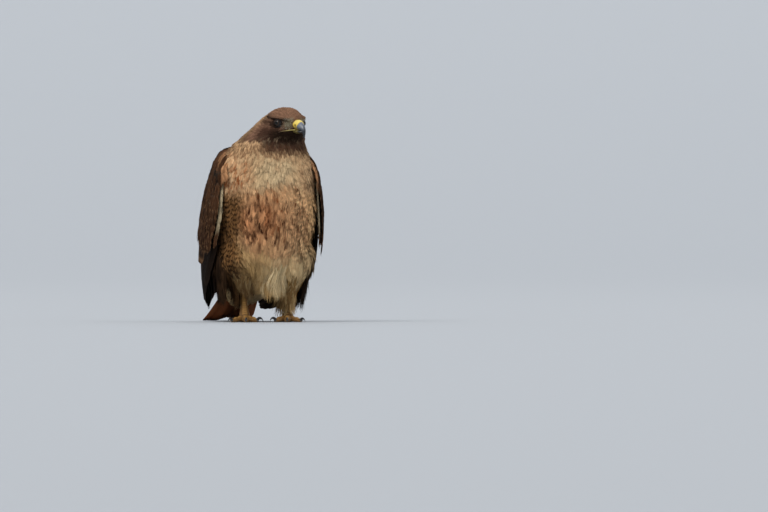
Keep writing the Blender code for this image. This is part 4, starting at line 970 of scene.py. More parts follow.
def makeWing(name, sign):
    rng = np.random.default_rng(500 + sign)
    looks = {
        "primaries": (wingTones["quill"], wingTones["quillEdge"], 0.12, 0.4, 0.0, "quill", 0.03),
        "secondaries": (wingTones["flight"], wingTones["covertEdge"], 0.30, 0.5, 0.55, "quill", 0.03),
        "tertials": (wingTones["flight"] * 1.2, wingTones["scapularEdge"], 0.35, 0.5, 0.5, "quill", 0.03),
        "primaryCoverts": (wingTones["quill"], wingTones["quillEdge"], 0.25, 0.4, 0.0, "covert", 0.02),
        "alula": (wingTones["quill"] * 1.1, wingTones["quillEdge"], 0.3, 0.4, 0.0, "covert", 0.02),
        "greaterCoverts": (wingTones["covert"] * 0.85, wingTones["covertEdge"], 0.60, 0.5, 0.25, "covert", 0.02),
        "medianCoverts": (wingTones["covert"], wingTones["covertEdge"], 0.70, 0.5, 0.0, "covert", 0.02),
    }
    flight, coverts = [], []
    for tier, (count, rootFirst, rootLast, tipFirst, tipLast, half, lift, tilt, sink) in wingTiers.items():
        tipsOf = curveAt(primaryTips, np.linspace(0, 1, count)) if tipFirst is None else spreadRow(tipFirst, tipLast, count)
        rootsOf = spreadRow(rootFirst, rootLast, count)
        base, edge, edgeShare, streakShare, bars, kind, size = looks[tier]
        tipsOf = tipsOf + rng.normal(0, 0.006, tipsOf.shape) * (tier != "primaries")
        along, across = pathsBetween(rootsOf, tipsOf)
        set = quillShape[kind]
        for k in range(count):
            one = slice(k, k + 1)
            marks = quillMarks(1, base, edge, edgeShare, streakShare, bars, 9.0, rng)
            batch = quillBatch(along[one], across[one], np.array([half * rng.uniform(0.96, 1.06)]),
                               np.array([lift + rng.normal(0, 0.00012)]), np.array([-tilt / half]), sink, marks, set[k % len(set)], sign, rng,
                               bow=-0.03 if tier == "primaries" else 0.0, size=size)
            (flight if kind == "quill" else coverts).append(batch)
    # small coverts: a strip down the front edge, then rows over the shoulder from the median coverts up
    rows = [(start, -0.02, 0.50 - 1.2 * (start - 0.215), 10) for start in np.linspace(0.415, 0.215, 8)]
    rows += [(start, 0.0, 0.97, 21) for start in np.linspace(0.195, 0.030, 12)]
    for row, (start, first, last, count) in enumerate(rows):
        rootsOf = spreadRow((start, first), (start, last), count) + rng.normal(0, 0.008, (count, 2))
        tipsOf = rootsOf + np.stack([rng.normal(0.082, 0.006, count), rng.normal(0, 0.014, count)], 1)
        along, across = pathsBetween(np.clip(rootsOf, 0.0, 1.02), tipsOf, 6)
        share = max(row - 8, 0) / 11
        marks = quillMarks(count, wingTones["covert"] * (1 - share) + wingTones["shoulder"] * share, wingTones["shoulderEdge"], 0.75, 0.6, 0.0, rng=rng, spread=0.24)
        marks["streakWidth"] = np.full(count, 0.24)
        lift = np.interp(start, [0.03, 0.08, 0.14, 0.195, 0.22, 0.42], [0.0012, 0.0028, 0.0048, 0.0062, 0.0068, 0.0048]) + rng.normal(0, 0.0003, count)
        coverts.append(quillBatch(along, across, rng.uniform(0.0058, 0.0072, count), lift, np.full(count, -0.10), 0.0035, marks,
                                  quillShape["soft"][row % 6], sign, rng, size=0.02))
    # pale small feathers along the front rim, from the bend of the wing down
    for row, place_ in enumerate((0.035, -0.008)):
        count = 30
        rootsOf = spreadRow((0.03, place_), (0.40, place_), count) + rng.normal(0, 0.004, (count, 2))
        rootsOf[:, 1] -= 0.045 * smooth(rootsOf[:, 0], 0.14, 0.36) * row       # the pale stripe turns in towards the body
        tipsOf = rootsOf + np.stack([np.full(count, 0.055), rng.normal(0.006, 0.004, count)], 1)
        along, across = pathsBetween(rootsOf, tipsOf, 5)
        pale = smooth(rootsOf[:, 0], 0.12, 0.16) * (1 - smooth(rootsOf[:, 0], 0.34, 0.38)) * (row == 1)
        marks = quillMarks(count, wingTones["covert"], wingTones["covertEdge"], 0.5, 0.4, 0.0, rng=rng, spread=0.15)
        marks["base"] = blend(marks["base"], wingTones["rim"] * (1 + rng.normal(0, 0.12, (count, 1))), pale)
        marks["edge"] = blend(marks["edge"], wingTones["rim"], pale)
        marks["streakShare"] = marks["streakShare"] * (1 - 0.5 * pale)
        coverts.append(quillBatch(along, across, np.full(count, 0.0046), np.full(count, 0.0040 - 0.0036 * row), np.full(count, -0.2), 0.003,
                                  marks, quillShape["soft"][row], sign, rng, size=0.012))
    # scapulars over the wing's rear edge
    for row, (start, reach, half, lift) in enumerate(((0.20, 0.19, 0.0115, 0.0085), (0.165, 0.17, 0.0110, 0.0080), (0.130, 0.15, 0.0105, 0.0070),
                                                      (0.095, 0.14, 0.0095, 0.0055), (0.060, 0.12, 0.0088, 0.0040), (0.025, 0.10, 0.0080, 0.0024))):
        count = 9
        rootsOf = spreadRow((start, 0.66), (start, 1.08), count) + rng.normal(0, 0.008, (count, 2))
        tipsOf = rootsOf + np.stack([rng.normal(reach, 0.006, count), rng.normal(0.01, 0.014, count)], 1)
        along, across = pathsBetween(rootsOf, tipsOf, 7)
        marks = quillMarks(count, wingTones["scapular"], wingTones["scapularEdge"], 0.55, 0.6, 0.45, 4.0, rng, 0.18)
        marks["streakWidth"] = np.full(count, 0.2)
        coverts.append(quillBatch(along, across, np.full(count, half), lift + rng.normal(0, 0.0003, count), np.full(count, 0.06), 0.005,
                                  marks, quillShape["soft"][row], sign, rng, cup=0.18, size=0.03))
    # tan feathers of the breast side and neck that fall over the top of the wing
    for row, start in enumerate((0.085, 0.060, 0.035, 0.010, -0.012, -0.030)):
        count = 26
        rootsOf = spreadRow((start, -0.10), (start, 0.62 - 0.05 * row), count) + rng.normal(0, 0.010, (count, 2))
        rootsOf[:, 0] += 0.045 * smooth(-rootsOf[:, 1], -0.30, 0.05) - 0.035 * smooth(rootsOf[:, 1], 0.2, 0.6)
        tipsOf = rootsOf + np.stack([rng.normal(0.072, 0.008, count), rng.normal(0.0, 0.016, count)], 1)
        along, across = pathsBetween(rootsOf, tipsOf, 6)
        marks = quillMarks(count, wingTones["cape"], wingTones["cape"] * 1.2, 0.4, 0.7, 0.0, rng=rng, spread=0.16)
        marks["base"] = blend(marks["base"], wingTones["shoulder"], smooth(rootsOf[:, 1] + 3 * rootsOf[:, 0], 0.15, 0.55))
        marks["streak"] = np.tile(wingTones["capeDark"], (count, 1))
        marks["streakWidth"] = np.full(count, 0.30)
        coverts.append(quillBatch(along, across, rng.uniform(0.0050, 0.0066, count), 0.0030 - 0.0004 * row + rng.normal(0, 0.0004, count),
                                  np.full(count, -0.10), 0.0045, marks, quillShape["soft"][row], sign, rng, cup=0.22, size=0.02))
    coatPiece(f"wingQuills{name}", flight, crispPlumage, (f"wing_{name.lower()}",))
    coatPiece(f"wingCoverts{name}", coverts, crispPlumage)


def makeWingCore(name, sign):  # arm and hand under the coverts
    levels = np.array([(0.000, 0.20, 0.85, 0.0050), (0.050, 0.06, 0.94, 0.0110), (0.120, 0.03, 0.98, 0.0130), (0.200, 0.04, 0.98, 0.0120),
                       (0.280, 0.05, 0.96, 0.0085), (0.350, 0.08, 0.93, 0.0050), (0.430, 0.12, 0.90, 0.0028), (0.520, 0.18, 0.86, 0.0012)])
    rows, count = 24, 22
    s = np.linspace(0, 1, rows)
    along, first, last, deep = np.stack([np.interp(s, np.linspace(0, 1, len(levels)), levels[:, k]) for k in range(4)])
    share = np.linspace(0, 1, count)
    across = first[:, None] + (last - first)[:, None] * share
    place_, out = wingFrame(np.repeat(along[:, None], count, 1), across)
    rounded = np.sin(math.pi * (0.06 + 0.88 * share)) ** 0.5
    outer = place_ - out * (0.0016 + deep[:, None] * 0.30 * (1 - rounded))[..., None]
    inner = place_ - out * (0.0016 + deep[:, None] * (0.30 + 0.70 * rounded))[..., None]
    rings = np.concatenate([outer, inner[:, ::-1]], 1) * [sign, 1, 1] + shift
    points, quads = loftRings(rings)
    # Painted shade: the arm under the coverts is the covert colour darkened to 0.6.
    mesh = meshFrom(f"wingArm{name}", points, quads, np.tile(wingTones["covert"] * 0.6, (len(points), 1)), {"vane": np.zeros((len(points), 2))})
    closeEnds(mesh, 2 * count)
    addPiece(f"wingArm{name}", mesh, softPlumage)


def closeEnds(mesh, count):  # flat caps on a loft, with every face turned outward
    shape = bmesh.new()
    shape.from_mesh(mesh)
    shape.verts.ensure_lookup_table()
    total = len(shape.verts)
    for ring in (range(count), range(total - count, total)):
        shape.faces.new([shape.verts[k] for k in ring])
    bmesh.ops.recalc_face_normals(shape, faces=shape.faces)
    shape.to_mesh(mesh)
    shape.free()
    mesh.shade_smooth()
    return mesh


for name, sign in (("Left", 1), ("Right", -1)):
    makeWing(name, sign)
    makeWingCore(name, sign)

# The tail.

tailPlan = {
    "rail": [(0.0, 0.082, 0.0880), (0.0, 0.120, 0.0690), (0.0, 0.165, 0.0455), (0.0, 0.205, 0.0255), (0.0, 0.240, 0.0101), (0.0, 0.266, 0.0041)],
    "pairs": 6, "halfWidth": 0.0132,
    "tone": paint(146, 86, 52), "band": paint(44, 28, 20), "tip": paint(196, 160, 128), "shaft": paint(120, 66, 38),
    "covert": paint(150, 96, 64), "covertEdge": paint(206, 176, 142),
}


def tailFrame(s):
    here = curveAt(tailPlan["rail"], s)
    run = unit(curveAt(tailPlan["rail"], np.minimum(s + 0.01, 1)) - curveAt(tailPlan["rail"], np.maximum(s - 0.01, 0)))
    up = unit(np.cross(np.array([1.0, 0, 0]), run))
    return here, up * np.sign(up[..., 2:])


def makeTail():
    rng = np.random.default_rng(900)
    batches, s = [], np.linspace(0, 1, 14)
    shapes_ = [vaneShape(160 + k, 30, 0.84, 4, 0.22) for k in range(4)]
    for rank in range(tailPlan["pairs"]):
        for side in (1, -1):
            middle, up = tailFrame(s * (1 - 0.012 * rank))
            offset = side * (0.0022 * (rank + 0.5) + 0.0036 * (rank + 0.5) * s ** 0.9)
            drop = 0.00095 * (rank * 2 + (side < 0)) * np.minimum(1, 0.15 + 2.2 * s)
            line = middle + np.array([1.0, 0, 0]) * offset[:, None] + up * (0.0050 - drop)[:, None] + shift
            shape = shapes_[(rank + (side > 0)) % 4]
            points = growVanes(line[None], up[None], np.array([tailPlan["halfWidth"]]), shape, lambda t: 0 * t, np.array([0.03 * side]), 0.05)
            points[..., 2] = np.maximum(points[..., 2], 0.0003)
            t, w = shape["s"], shape["w"]
            tint = np.tile(tailPlan["tone"] * rng.uniform(0.92, 1.08), (len(t), 1))
            tint = blend(tint, tailPlan["tone"] * 0.72, 0.5 * bump(w, 0, 0.35))
            tint = blend(tint, tailPlan["band"], bump(t, 0.905, 0.020) * 0.95)
            tint = blend(tint, tailPlan["tip"], smooth(t, 0.945, 0.975) * 0.85)
            tint = blend(tint, tailPlan["shaft"], np.exp(-(w / 0.09) ** 2) * 0.8)
            tint = tint * (1 + 0.05 * shape["lock"])[:, None]
            patch = patchMap(np.array([[0.0, 0.0]]), shape, 1.0) * [0.07, 0.9] + [0.01 + 0.08 * (rank * 2 + (side < 0)), 0.02]
            batches.append({"points": points, "shape": shape, "tint": tint[None], "patch": patch})
    coatPiece("tailQuills", batches, crispPlumage, ("tail",))
    batches = []
    for row, (start, reach, wide, lift) in enumerate(((0.17, 0.30, 0.020, 0.0066), (0.09, 0.28, 0.022, 0.0096), (0.00, 0.26, 0.022, 0.0120), (-0.07, 0.24, 0.020, 0.0130))):
        count = 7
        for k in range(count):
            share = (k - (count - 1) / 2) / (count - 1) * 2
            t = start + reach * np.linspace(0, 1, 7) * (1 - 0.12 * share ** 2)
            middle, up = tailFrame(np.clip(t, 0, 1))
            middle = middle + np.minimum(t, 0)[:, None] * np.array([0, 0.1, -0.055])
            line = middle + np.array([1.0, 0, 0]) * (share * wide * (1 + 0.2 * np.linspace(0, 1, 7)))[:, None]
            line = line + up * (lift - 0.0085 * share ** 2 - 0.004 * np.linspace(0, 1, 7))[:, None] + shift
            marks = quillMarks(1, tailPlan["covert"], tailPlan["covertEdge"], 0.5, 0.5, 0.3, 4.0, rng, 0.12)
            shape = quillShape["round"][(k + row) % 6]
            points = growVanes(line[None], up[None], np.array([0.0095]), shape, lambda v: 0 * v, np.array([0.0]), 0.2)
            tint = featherColours(marks, shape["s"], shape["w"], shape["lock"], rng)
            batches.append({"points": points, "shape": shape, "tint": tint,
                            "patch": patchMap(np.array([[0.0, 0.0]]), shape, 0.1) + [k * 0.12, row * 0.12]})
    coatPiece("tailCoverts", batches, crispPlumage)


makeTail()

# Head: eyes, lids, bill, mouth and bristles.

facePlan = {
    "lidOpening": 0.98, "lidBrow": 0.78,         # radians from the eye's axis, and how far the brow lowers the upper lid
    "nostril": (0.0390, 0.0077, -0.0020), "nostrilReach": 0.0018, "nostrilDepth": 0.0022,
    "bill": [(0.0335, 0.0068, -0.0080, 0.0081), (0.0380, 0.0063, -0.0086, 0.0078), (0.0425, 0.0052, -0.0090, 0.0071),
             (0.0470, 0.0028, -0.0096, 0.0060), (0.0512, -0.0010, -0.0108, 0.0047), (0.0544, -0.0064, -0.0138, 0.0035),
             (0.0558, -0.0134, -0.0178, 0.0024), (0.0554, -0.0192, -0.0214, 0.0012), (0.0550, -0.0219, -0.0224, 0.0003)],
    "lower": [(0.0270, -0.0080, -0.0150, 0.0078), (0.0390, -0.0080, -0.0150, 0.0070), (0.0440, -0.0085, -0.0147, 0.0059),
              (0.0485, -0.0094, -0.0142, 0.0044), (0.0515, -0.0106, -0.0136, 0.0022)],
    "mouth": [(0.0400, 0.0072, -0.0088), (0.0350, 0.0106, -0.0098), (0.0290, 0.0160, -0.0112), (0.0210, 0.0216, -0.0128),
              (0.0135, 0.0242, -0.0146)],
    "brow": [(0.0290, 0.0110, 0.0062, 0.0012), (0.0230, 0.0166, 0.0078, 0.0022), (0.0135, 0.0220, 0.0092, 0.0030),
             (0.0030, 0.0244, 0.0102, 0.0030), (-0.0080, 0.0248, 0.0106, 0.0016)],
    "cere": paint(236, 202, 80), "cereLow": paint(170, 144, 62), "cerePale": paint(242, 222, 128),
    "horn": paint(112, 118, 130), "hornTip": paint(26, 26, 29), "gape": paint(176, 158, 88), "nostrilShade": paint(26, 20, 12),
}


def headPoints(table):  # many places in the head's frame
    return headPlace + np.asarray(table, float) @ headAxes.T


def makeHorn(name, gloss, lines):
    made, tree, put = newFinish(name, **{"Specular IOR Level": 0.5, "Coat Roughness": 0.25})
    spot = objectSpot(tree)
    cloud = place(tree, "ShaderNodeTexNoise", None, {"Vector": spot, "Scale": 260.0, "Detail": 4.0})
    grain = place(tree, "ShaderNodeTexNoise", None, {"Vector": objectSpot(tree, (600, 600, 2400)), "Scale": 1.0, "Detail": 2.0})
    shade = 0.86 + cloud * 0.28
    grey = place(tree, "ShaderNodeCombineColor", None, {0: shade, 1: shade, 2: shade})
    feed(tree, put["Base Color"], mixColours(tree, 1.0, tintOf(tree), grey, "MULTIPLY"))
    feed(tree, put["Roughness"], gloss + cloud * 0.16)
    feed(tree, put["Coat Weight"], 0.35 - cloud * 0.2)
    feed(tree, put["Normal"], place(tree, "ShaderNodeBump", None, {"Strength": 0.3, "Distance": 0.00012, "Height": grain * lines + cloud}))
    return made


def makeWax(name, rough, cells):  # cere, gape and lids: soft waxy skin with fine creases
    made, tree, put = newFinish(name, **{"Specular IOR Level": 0.45})
    spot = objectSpot(tree)
    cloud = place(tree, "ShaderNodeTexNoise", None, {"Vector": spot, "Scale": 320.0, "Detail": 4.0})
    crease = place(tree, "ShaderNodeTexVoronoi", {"feature": "DISTANCE_TO_EDGE"}, {"Vector": spot, "Scale": cells})
    groove = place(tree, "ShaderNodeMapRange", None, {0: crease, 1: 0.0, 2: 0.12, 3: 0.0, 4: 1.0})
    shade = 0.84 + cloud * 0.25 + groove * 0.03
    grey = place(tree, "ShaderNodeCombineColor", None, {0: shade, 1: shade, 2: shade})
    feed(tree, put["Base Color"], mixColours(tree, 1.0, tintOf(tree), grey, "MULTIPLY"))
    feed(tree, put["Roughness"], rough + cloud * 0.15)
    feed(tree, put["Normal"], place(tree, "ShaderNodeBump", None, {"Strength": 0.25, "Distance": 0.00010, "Height": groove * 0.6 + cloud}))
    return made


def makeEyeGlass():
    made, tree, put = newFinish("eyeGlass", **{"Specular IOR Level": 0.08, "Coat Roughness": 0.04, "IOR": 1.38})
    ring = place(tree, "ShaderNodeSeparateXYZ", None, {0: place(tree, "ShaderNodeUVMap", {"uv_map": "vane"})}, 1)
    turn = place(tree, "ShaderNodeSeparateXYZ", None, {0: place(tree, "ShaderNodeUVMap", {"uv_map": "vane"})}, 0)
    thread = place(tree, "ShaderNodeTexNoise", None, {"Vector": place(tree, "ShaderNodeCombineXYZ", None, {0: turn * 60.0, 1: ring * 9.0}), "Scale": 1.0, "Detail": 4.0})
    stain = place(tree, "ShaderNodeValToRGB", {"stops": [(0.0, (0.002, 0.002, 0.002)), (0.103, (0.002, 0.002, 0.002)), (0.112, (0.016, 0.009, 0.006)),
                                                          (0.20, (0.036, 0.020, 0.011)), (0.232, (0.014, 0.008, 0.005)), (0.246, (0.004, 0.003, 0.003))]}, {0: ring})
    fleck = 0.55 + thread * 0.9
    grey = place(tree, "ShaderNodeCombineColor", None, {0: fleck, 1: fleck, 2: fleck})
    feed(tree, put["Base Color"], mixColours(tree, 1.0, stain, grey, "MULTIPLY"))
    feed(tree, put["Roughness"], 0.10 + thread * 0.05)
    feed(tree, put["Coat Weight"], 0.42 + thread * 0.1)
    return made


hornFinish = makeHorn("hornFinish", 0.22, 0.8)
waxFinish = makeWax("waxFinish", 0.42, 1500.0)
lidFinish = makeWax("lidFinish", 0.50, 1500.0)
eyeGlass = makeEyeGlass()


def eyeAxes(side):  # the eye's middle, and its look, up and rear directions
    look = headWay(bird["eyeLook"][0], bird["eyeLook"][1] * side, bird["eyeLook"][2])
    up = unit(headWay(0, 0, 1) - look * (headWay(0, 0, 1) @ look))
    return headPoint(bird["eye"][0], bird["eye"][1] * side, bird["eye"][2]), look, up, np.cross(up, look) * side


def aroundEye(side, polar, angle, reach):  # places at these angles from the eye's axis, at this radius
    middle, look, up, rear = eyeAxes(side)
    polar, angle, reach = np.broadcast_arrays(polar, angle, reach)
    flat = np.cos(angle)[..., None] * rear + np.sin(angle)[..., None] * up
    return middle + (np.cos(polar)[..., None] * look + np.sin(polar)[..., None] * flat) * reach[..., None]


def gridQuads(rows, count, closed=True):
    k, j = np.meshgrid(np.arange(rows - 1), np.arange(count if closed else count - 1), indexing="ij")
    after = (j + 1) % count
    return np.stack([k * count + j, k * count + after, (k + 1) * count + after, (k + 1) * count + j], -1).reshape(-1, 4)


def outwardMesh(name, points, quads, tint, maps=None, caps=()):  # closed shape with its faces turned outward
    mesh = meshFrom(name, points, quads, tint, maps or {"vane": np.zeros((len(points), 2))})
    shape = bmesh.new()
    shape.from_mesh(mesh)
    shape.verts.ensure_lookup_table()
    for ring in caps:
        shape.faces.new([shape.verts[k] for k in ring])
    bmesh.ops.recalc_face_normals(shape, faces=shape.faces)
    shape.to_mesh(mesh)
    shape.free()
    mesh.shade_smooth()
    return mesh


def makeEyes():
    radius = bird["eyeRadius"]
    points, quads, maps = [], [], []
    rows, count = 40, 48
    polar, angle = np.meshgrid(np.linspace(0.012, math.pi - 0.012, rows), np.linspace(0, 2 * math.pi, count, endpoint=False), indexing="ij")
    for side in (1, -1):
        swell = radius * (0.985 + 0.030 * np.exp(-(polar / 0.55) ** 4))
        points.append(aroundEye(side, polar, angle, swell).reshape(-1, 3))
        quads.append(gridQuads(rows, count) + len(quads) * rows * count)
        maps.append(np.stack([angle / (2 * math.pi), polar / math.pi], -1).reshape(-1, 2))
    caps = [[side * rows * count + end * count + k for k in range(count)] for side in (0, 1) for end in (0, rows - 1)]
    points = np.vstack(points)
    mesh = outwardMesh("eyes", points, np.vstack(quads), np.tile([0.02, 0.01, 0.008], (len(points), 1)), {"vane": np.vstack(maps)}, caps)
    addPiece("eyes", mesh, eyeGlass, ("eye_left", "eye_right"))


def makeLids():
    radius, count = bird["eyeRadius"], 56
    angle = np.linspace(0, 2 * math.pi, count, endpoint=False)
    opening = facePlan["lidOpening"] * (1 - (1 - facePlan["lidBrow"]) * np.clip(np.sin(angle + 0.18), 0, 1) ** 1.4) * (1 + 0.07 * np.abs(np.cos(angle)) ** 3)
    profile = [(-0.02, -0.0006), (-0.015, 0.0001), (0.01, 0.00038), (0.04, 0.00048), (0.08, 0.00040), (0.12, 0.00020), (0.17, 0.00034),
               (0.23, 0.00040), (0.30, 0.00010), (0.40, -0.0005), (0.52, -0.0013), (0.66, -0.0024)]
    points, quads, tint, caps = [], [], [], []
    for side in (1, -1):
        rows = np.stack([aroundEye(side, opening + reach, angle, radius + rise + 0.00025 * (reach > 0.1) * np.sin(angle * 17 + reach * 30))
                         for reach, rise in profile])
        quads.append(gridQuads(len(profile), count) + len(points) * len(profile) * count)
        points.append(rows.reshape(-1, 3))
        rim = np.array([p[0] for p in profile])
        share = smooth(rim, 0.10, 0.35)[:, None, None]
        tone = paint(30, 24, 21) * (1 - share) + paint(62, 50, 42) * share
        tint.append(np.repeat(tone, count, 1).reshape(-1, 3))
    points = np.vstack(points)
    mesh = meshFrom("lids", points, np.vstack(quads), np.vstack(tint), {"vane": np.zeros((len(points), 2))})
    faceFrom(mesh, np.array([eyeAxes(1)[0], eyeAxes(-1)[0]]))
    addPiece("lids", mesh, lidFinish)


def faceFrom(mesh, middles):  # turns an open sheet's faces away from the nearest of these places
    shape = bmesh.new()
    shape.from_mesh(mesh)
    shape.normal_update()
    wrong = []
    for face in shape.faces:
        spot = np.array(face.calc_center_median())
        middle = middles[np.argmin(np.linalg.norm(middles - spot, axis=1))]
        if np.array(face.normal) @ (spot - middle) < 0:
            wrong.append(face)
    bmesh.ops.reverse_faces(shape, faces=wrong)
    shape.to_mesh(mesh)
    shape.free()


def billRings(table, s, count, lean, peak, pinch):  # rings along the bill, ridged above and flatter below
    levels = curveAt(table, s)
    before, after = curveAt(table, np.maximum(s - 0.02, 0)), curveAt(table, np.minimum(s + 0.02, 1))
    run, fall = after[:, 0] - before[:, 0], ((after[:, 1] + after[:, 2]) - (before[:, 1] + before[:, 2])) / 2
    tip = np.arctan2(fall, run) * lean
    angle = np.linspace(0, 2 * math.pi, count, endpoint=False)
    tall, middle = (levels[:, 1] - levels[:, 2]) / 2, (levels[:, 1] + levels[:, 2]) / 2
    c, h = np.cos(angle), np.sin(angle)
    wide = np.sign(c) * np.abs(c) ** 0.85 * (1 - peak * np.clip(h, 0, 1) ** 1.5) * (1 - pinch * np.clip(-h, 0, 1) ** 2)
    side = levels[:, 3][:, None] * wide[None]
    rise = tall[:, None] * h[None]
    ahead = levels[:, 0][:, None] - np.sin(tip)[:, None] * rise
    up = middle[:, None] + np.cos(tip)[:, None] * rise
    return np.stack([ahead, side, up], -1)


def makeBill():
    s = np.linspace(0.206, 1, 44)
    rings = billRings(facePlan["bill"], s, 32, 0.6, 0.42, 0.25)
    edge = (np.sin(np.linspace(0, 2 * math.pi, 32, endpoint=False)) < -0.55)[None]
    rings[..., 2] += -0.0005 * edge * bump(s, 0.37, 0.09)[:, None] * (np.abs(rings[..., 1]) > 0.001)   # the soft lobe on the cutting edge
    points = headPoints(rings.reshape(-1, 3))
    share = smooth(s, 0.32, 0.75)[:, None] * np.ones((1, 32))
    under = (rings[..., 2] < rings[:, :1, 2]).astype(float) * 0.25
    tint = blend(np.tile(facePlan["horn"], (len(points), 1)), facePlan["hornTip"], np.clip(share + under, 0, 1).ravel())
    mesh = outwardMesh("billUpper", points, gridQuads(44, 32), tint, None, [range(32), range(43 * 32, 44 * 32)])
    addPiece("billUpper", mesh, hornFinish, ("beak_upper",))
    s = np.linspace(0, 1, 22)
    rings = billRings(facePlan["lower"], s, 24, 0.6, 0.0, 0.25)
    points = headPoints(rings.reshape(-1, 3))
    tint = blend(np.tile(facePlan["gape"] * 0.42, (len(points), 1)), facePlan["hornTip"] * 1.6, np.repeat(smooth(s, 0.30, 0.62), 24))
    mesh = outwardMesh("billLower", points, gridQuads(22, 24), tint, None, [range(24), range(21 * 24, 22 * 24)])
    addPiece("billLower", mesh, hornFinish, ("beak_lower",))


def makeCere():
    s, count = np.linspace(-0.035, 0.276, 34), 64
    rings = billRings(facePlan["bill"], np.maximum(s, 0), count, 0.6, 0.22, 0.15)
    rings[..., 0] += np.minimum(s, 0)[:, None] * 0.05
    share = (s - s[0]) / (s[-1] - s[0])
    middle = (rings.max(1) + rings.min(1)) / 2
    puff = 1.035 + 0.050 * np.sin(math.pi * share) ** 0.7 - 0.09 * smooth(share, 0.90, 1.0)     # swells over the horn
    top = (rings[..., 2] - middle[:, None, 2]) / 0.008
    rings = middle[:, None] + (rings - middle[:, None]) * (puff[:, None] * (1 + 0.05 * np.clip(top, 0, 1) * np.sin(math.pi * share)[:, None]))[..., None]
    rings[..., 0] += 0.0018 * np.clip(-top, -0.4, 1) * share[:, None] * -1.0                  # its front edge slants back below
    flat = rings.reshape(-1, 3)
    n = np.array(facePlan["nostril"])
    tint = blend(np.tile(facePlan["cere"], (len(flat), 1)), facePlan["cereLow"], smooth(-flat[:, 2], 0.001, 0.006))
    tint = blend(tint, facePlan["cerePale"], bump(flat[:, 2], 0.0050, 0.004) * 0.6)
    for side in (1, -1):
        gap = np.linalg.norm((flat - n * [1, side, 1]) * [1.0, 0.5, 0.85], axis=1)
        pit = np.exp(-(gap / facePlan["nostrilReach"]) ** 4)
        rim = np.exp(-((gap - 0.0024) / 0.0007) ** 2)
        flat = flat - np.array([0.10, side, 0.15]) * (pit * facePlan["nostrilDepth"] - rim * 0.00022)[:, None]
        # Painted shade: the nostril pit is painted almost black, as the shade in the hole.
        tint = blend(tint, facePlan["nostrilShade"], np.exp(-(gap / 0.0019) ** 4) * 0.97)
    points = headPoints(flat)
    mesh = outwardMesh("cereSkin", points, gridQuads(34, count), tint, None, [range(count), range(33 * count, 34 * count)])
    addPiece("cereSkin", mesh, waxFinish, ("cere",))


def tubeRings(path, wide, deep, count, up):  # rings round a path; wide across it, deep along the given up
    run = unit(np.gradient(path, axis=0))
    side = unit(np.cross(run, up))
    over = np.cross(side, run)
    angle = np.linspace(0, 2 * math.pi, count, endpoint=False)
    return (path[:, None] + side[:, None] * (wide[:, None] * np.cos(angle))[..., None] + over[:, None] * (deep[:, None] * np.sin(angle))[..., None])


def makeMouth():  # the soft yellow edge of the gape, thick by the bill and gone below the eye
    points, quads, tint, caps = [], [], [], []
    s = np.linspace(0, 1, 40)
    for side in (1, -1):
        table = headPoints(curveAt(facePlan["mouth"], s) * [1, side, 1])
        spots, ways = onSkin(table)
        table = blend(table, spots + ways * 0.0011, smooth(s, 0.15, 0.35))
        thick = 0.00145 * (1 - s) ** 0.8 * smooth(s + 0.05, 0.0, 0.12) + 0.00035
        rings = tubeRings(table, thick * 0.9, thick * (0.62 + 0.04 * np.sin(s * 60)), 14, headWay(0, 0, 1))
        base = sum(len(p) for p in points)
        quads.append(gridQuads(40, 14) + base)
        caps += [range(base, base + 14), range(base + 39 * 14, base + 40 * 14)]
        points.append(rings.reshape(-1, 3))
        angle = np.tile(np.linspace(0, 2 * math.pi, 14, endpoint=False), 40)
        # Painted shade: the underside of the gape edge is darkened to a quarter of the gape colour; towards its end it
        # turns to the dark cheek tone.
        tint.append(blend(blend(np.tile(facePlan["gape"], (560, 1)), facePlan["gape"] * 0.25, smooth(-np.sin(angle), 0.1, 0.8)), tones["cheekDark"], np.repeat(smooth(s, 0.45, 1.0), 14)))
    mesh = outwardMesh("mouthLine", np.vstack(points), np.vstack(quads), np.vstack(tint), None, caps)
    addPiece("mouthLine", mesh, waxFinish)


def copiesTree(name, build, sizes):  # a Geometry Nodes tree that puts one small form on every point
    tree = bpy.data.node_groups.new(name, "GeometryNodeTree")
    tree.interface.new_socket("Geometry", in_out="INPUT", socket_type="NodeSocketGeometry")
    for label, value in sizes.items():
        socket = tree.interface.new_socket(label, in_out="INPUT", socket_type="NodeSocketFloat")
        socket.default_value = value
    tree.interface.new_socket("Geometry", in_out="OUTPUT", socket_type="NodeSocketGeometry")
    given = tree.nodes.new("NodeGroupInput")
    sockets = {item.name: Wire(tree, given.outputs[item.name]) for item in tree.interface.items_tree if item.in_out == "INPUT"}
    result = build(tree, sockets)
    end = tree.nodes.new("NodeGroupOutput")
    feed(tree, end.inputs[0], result)
    return tree


def grownMesh(name, points, attributes, tree, sizes):  # runs the tree on loose points and keeps the plain mesh
    mesh = bpy.data.meshes.new(name + "Seeds")
    mesh.vertices.add(len(points))
    mesh.vertices.foreach_set("co", np.asarray(points, np.float32).ravel())
    for label, (kind, values) in attributes.items():
        layer = mesh.attributes.new(label, kind, "POINT")
        layer.data.foreach_set("color" if kind == "FLOAT_COLOR" else "vector", np.asarray(values, np.float32).ravel())
    seeds = bpy.data.objects.new(name + "Seeds", mesh)
    bpy.context.scene.collection.objects.link(seeds)
    grow = seeds.modifiers.new("grow", "NODES")
    grow.node_group = tree
    for item in tree.interface.items_tree:
        if item.in_out == "INPUT" and item.name in sizes:
            grow[item.identifier] = sizes[item.name]
    bpy.context.view_layer.update()
    made = bpy.data.meshes.new_from_object(seeds.evaluated_get(bpy.context.evaluated_depsgraph_get()))
    seeds.modifiers.clear()
    bpy.data.objects.remove(seeds)
    return made


def named(tree, label, kind):  # a named attribute inside a Geometry Nodes tree
    return place(tree, "GeometryNodeInputNamedAttribute", {"data_type": kind}, {"Name": label})


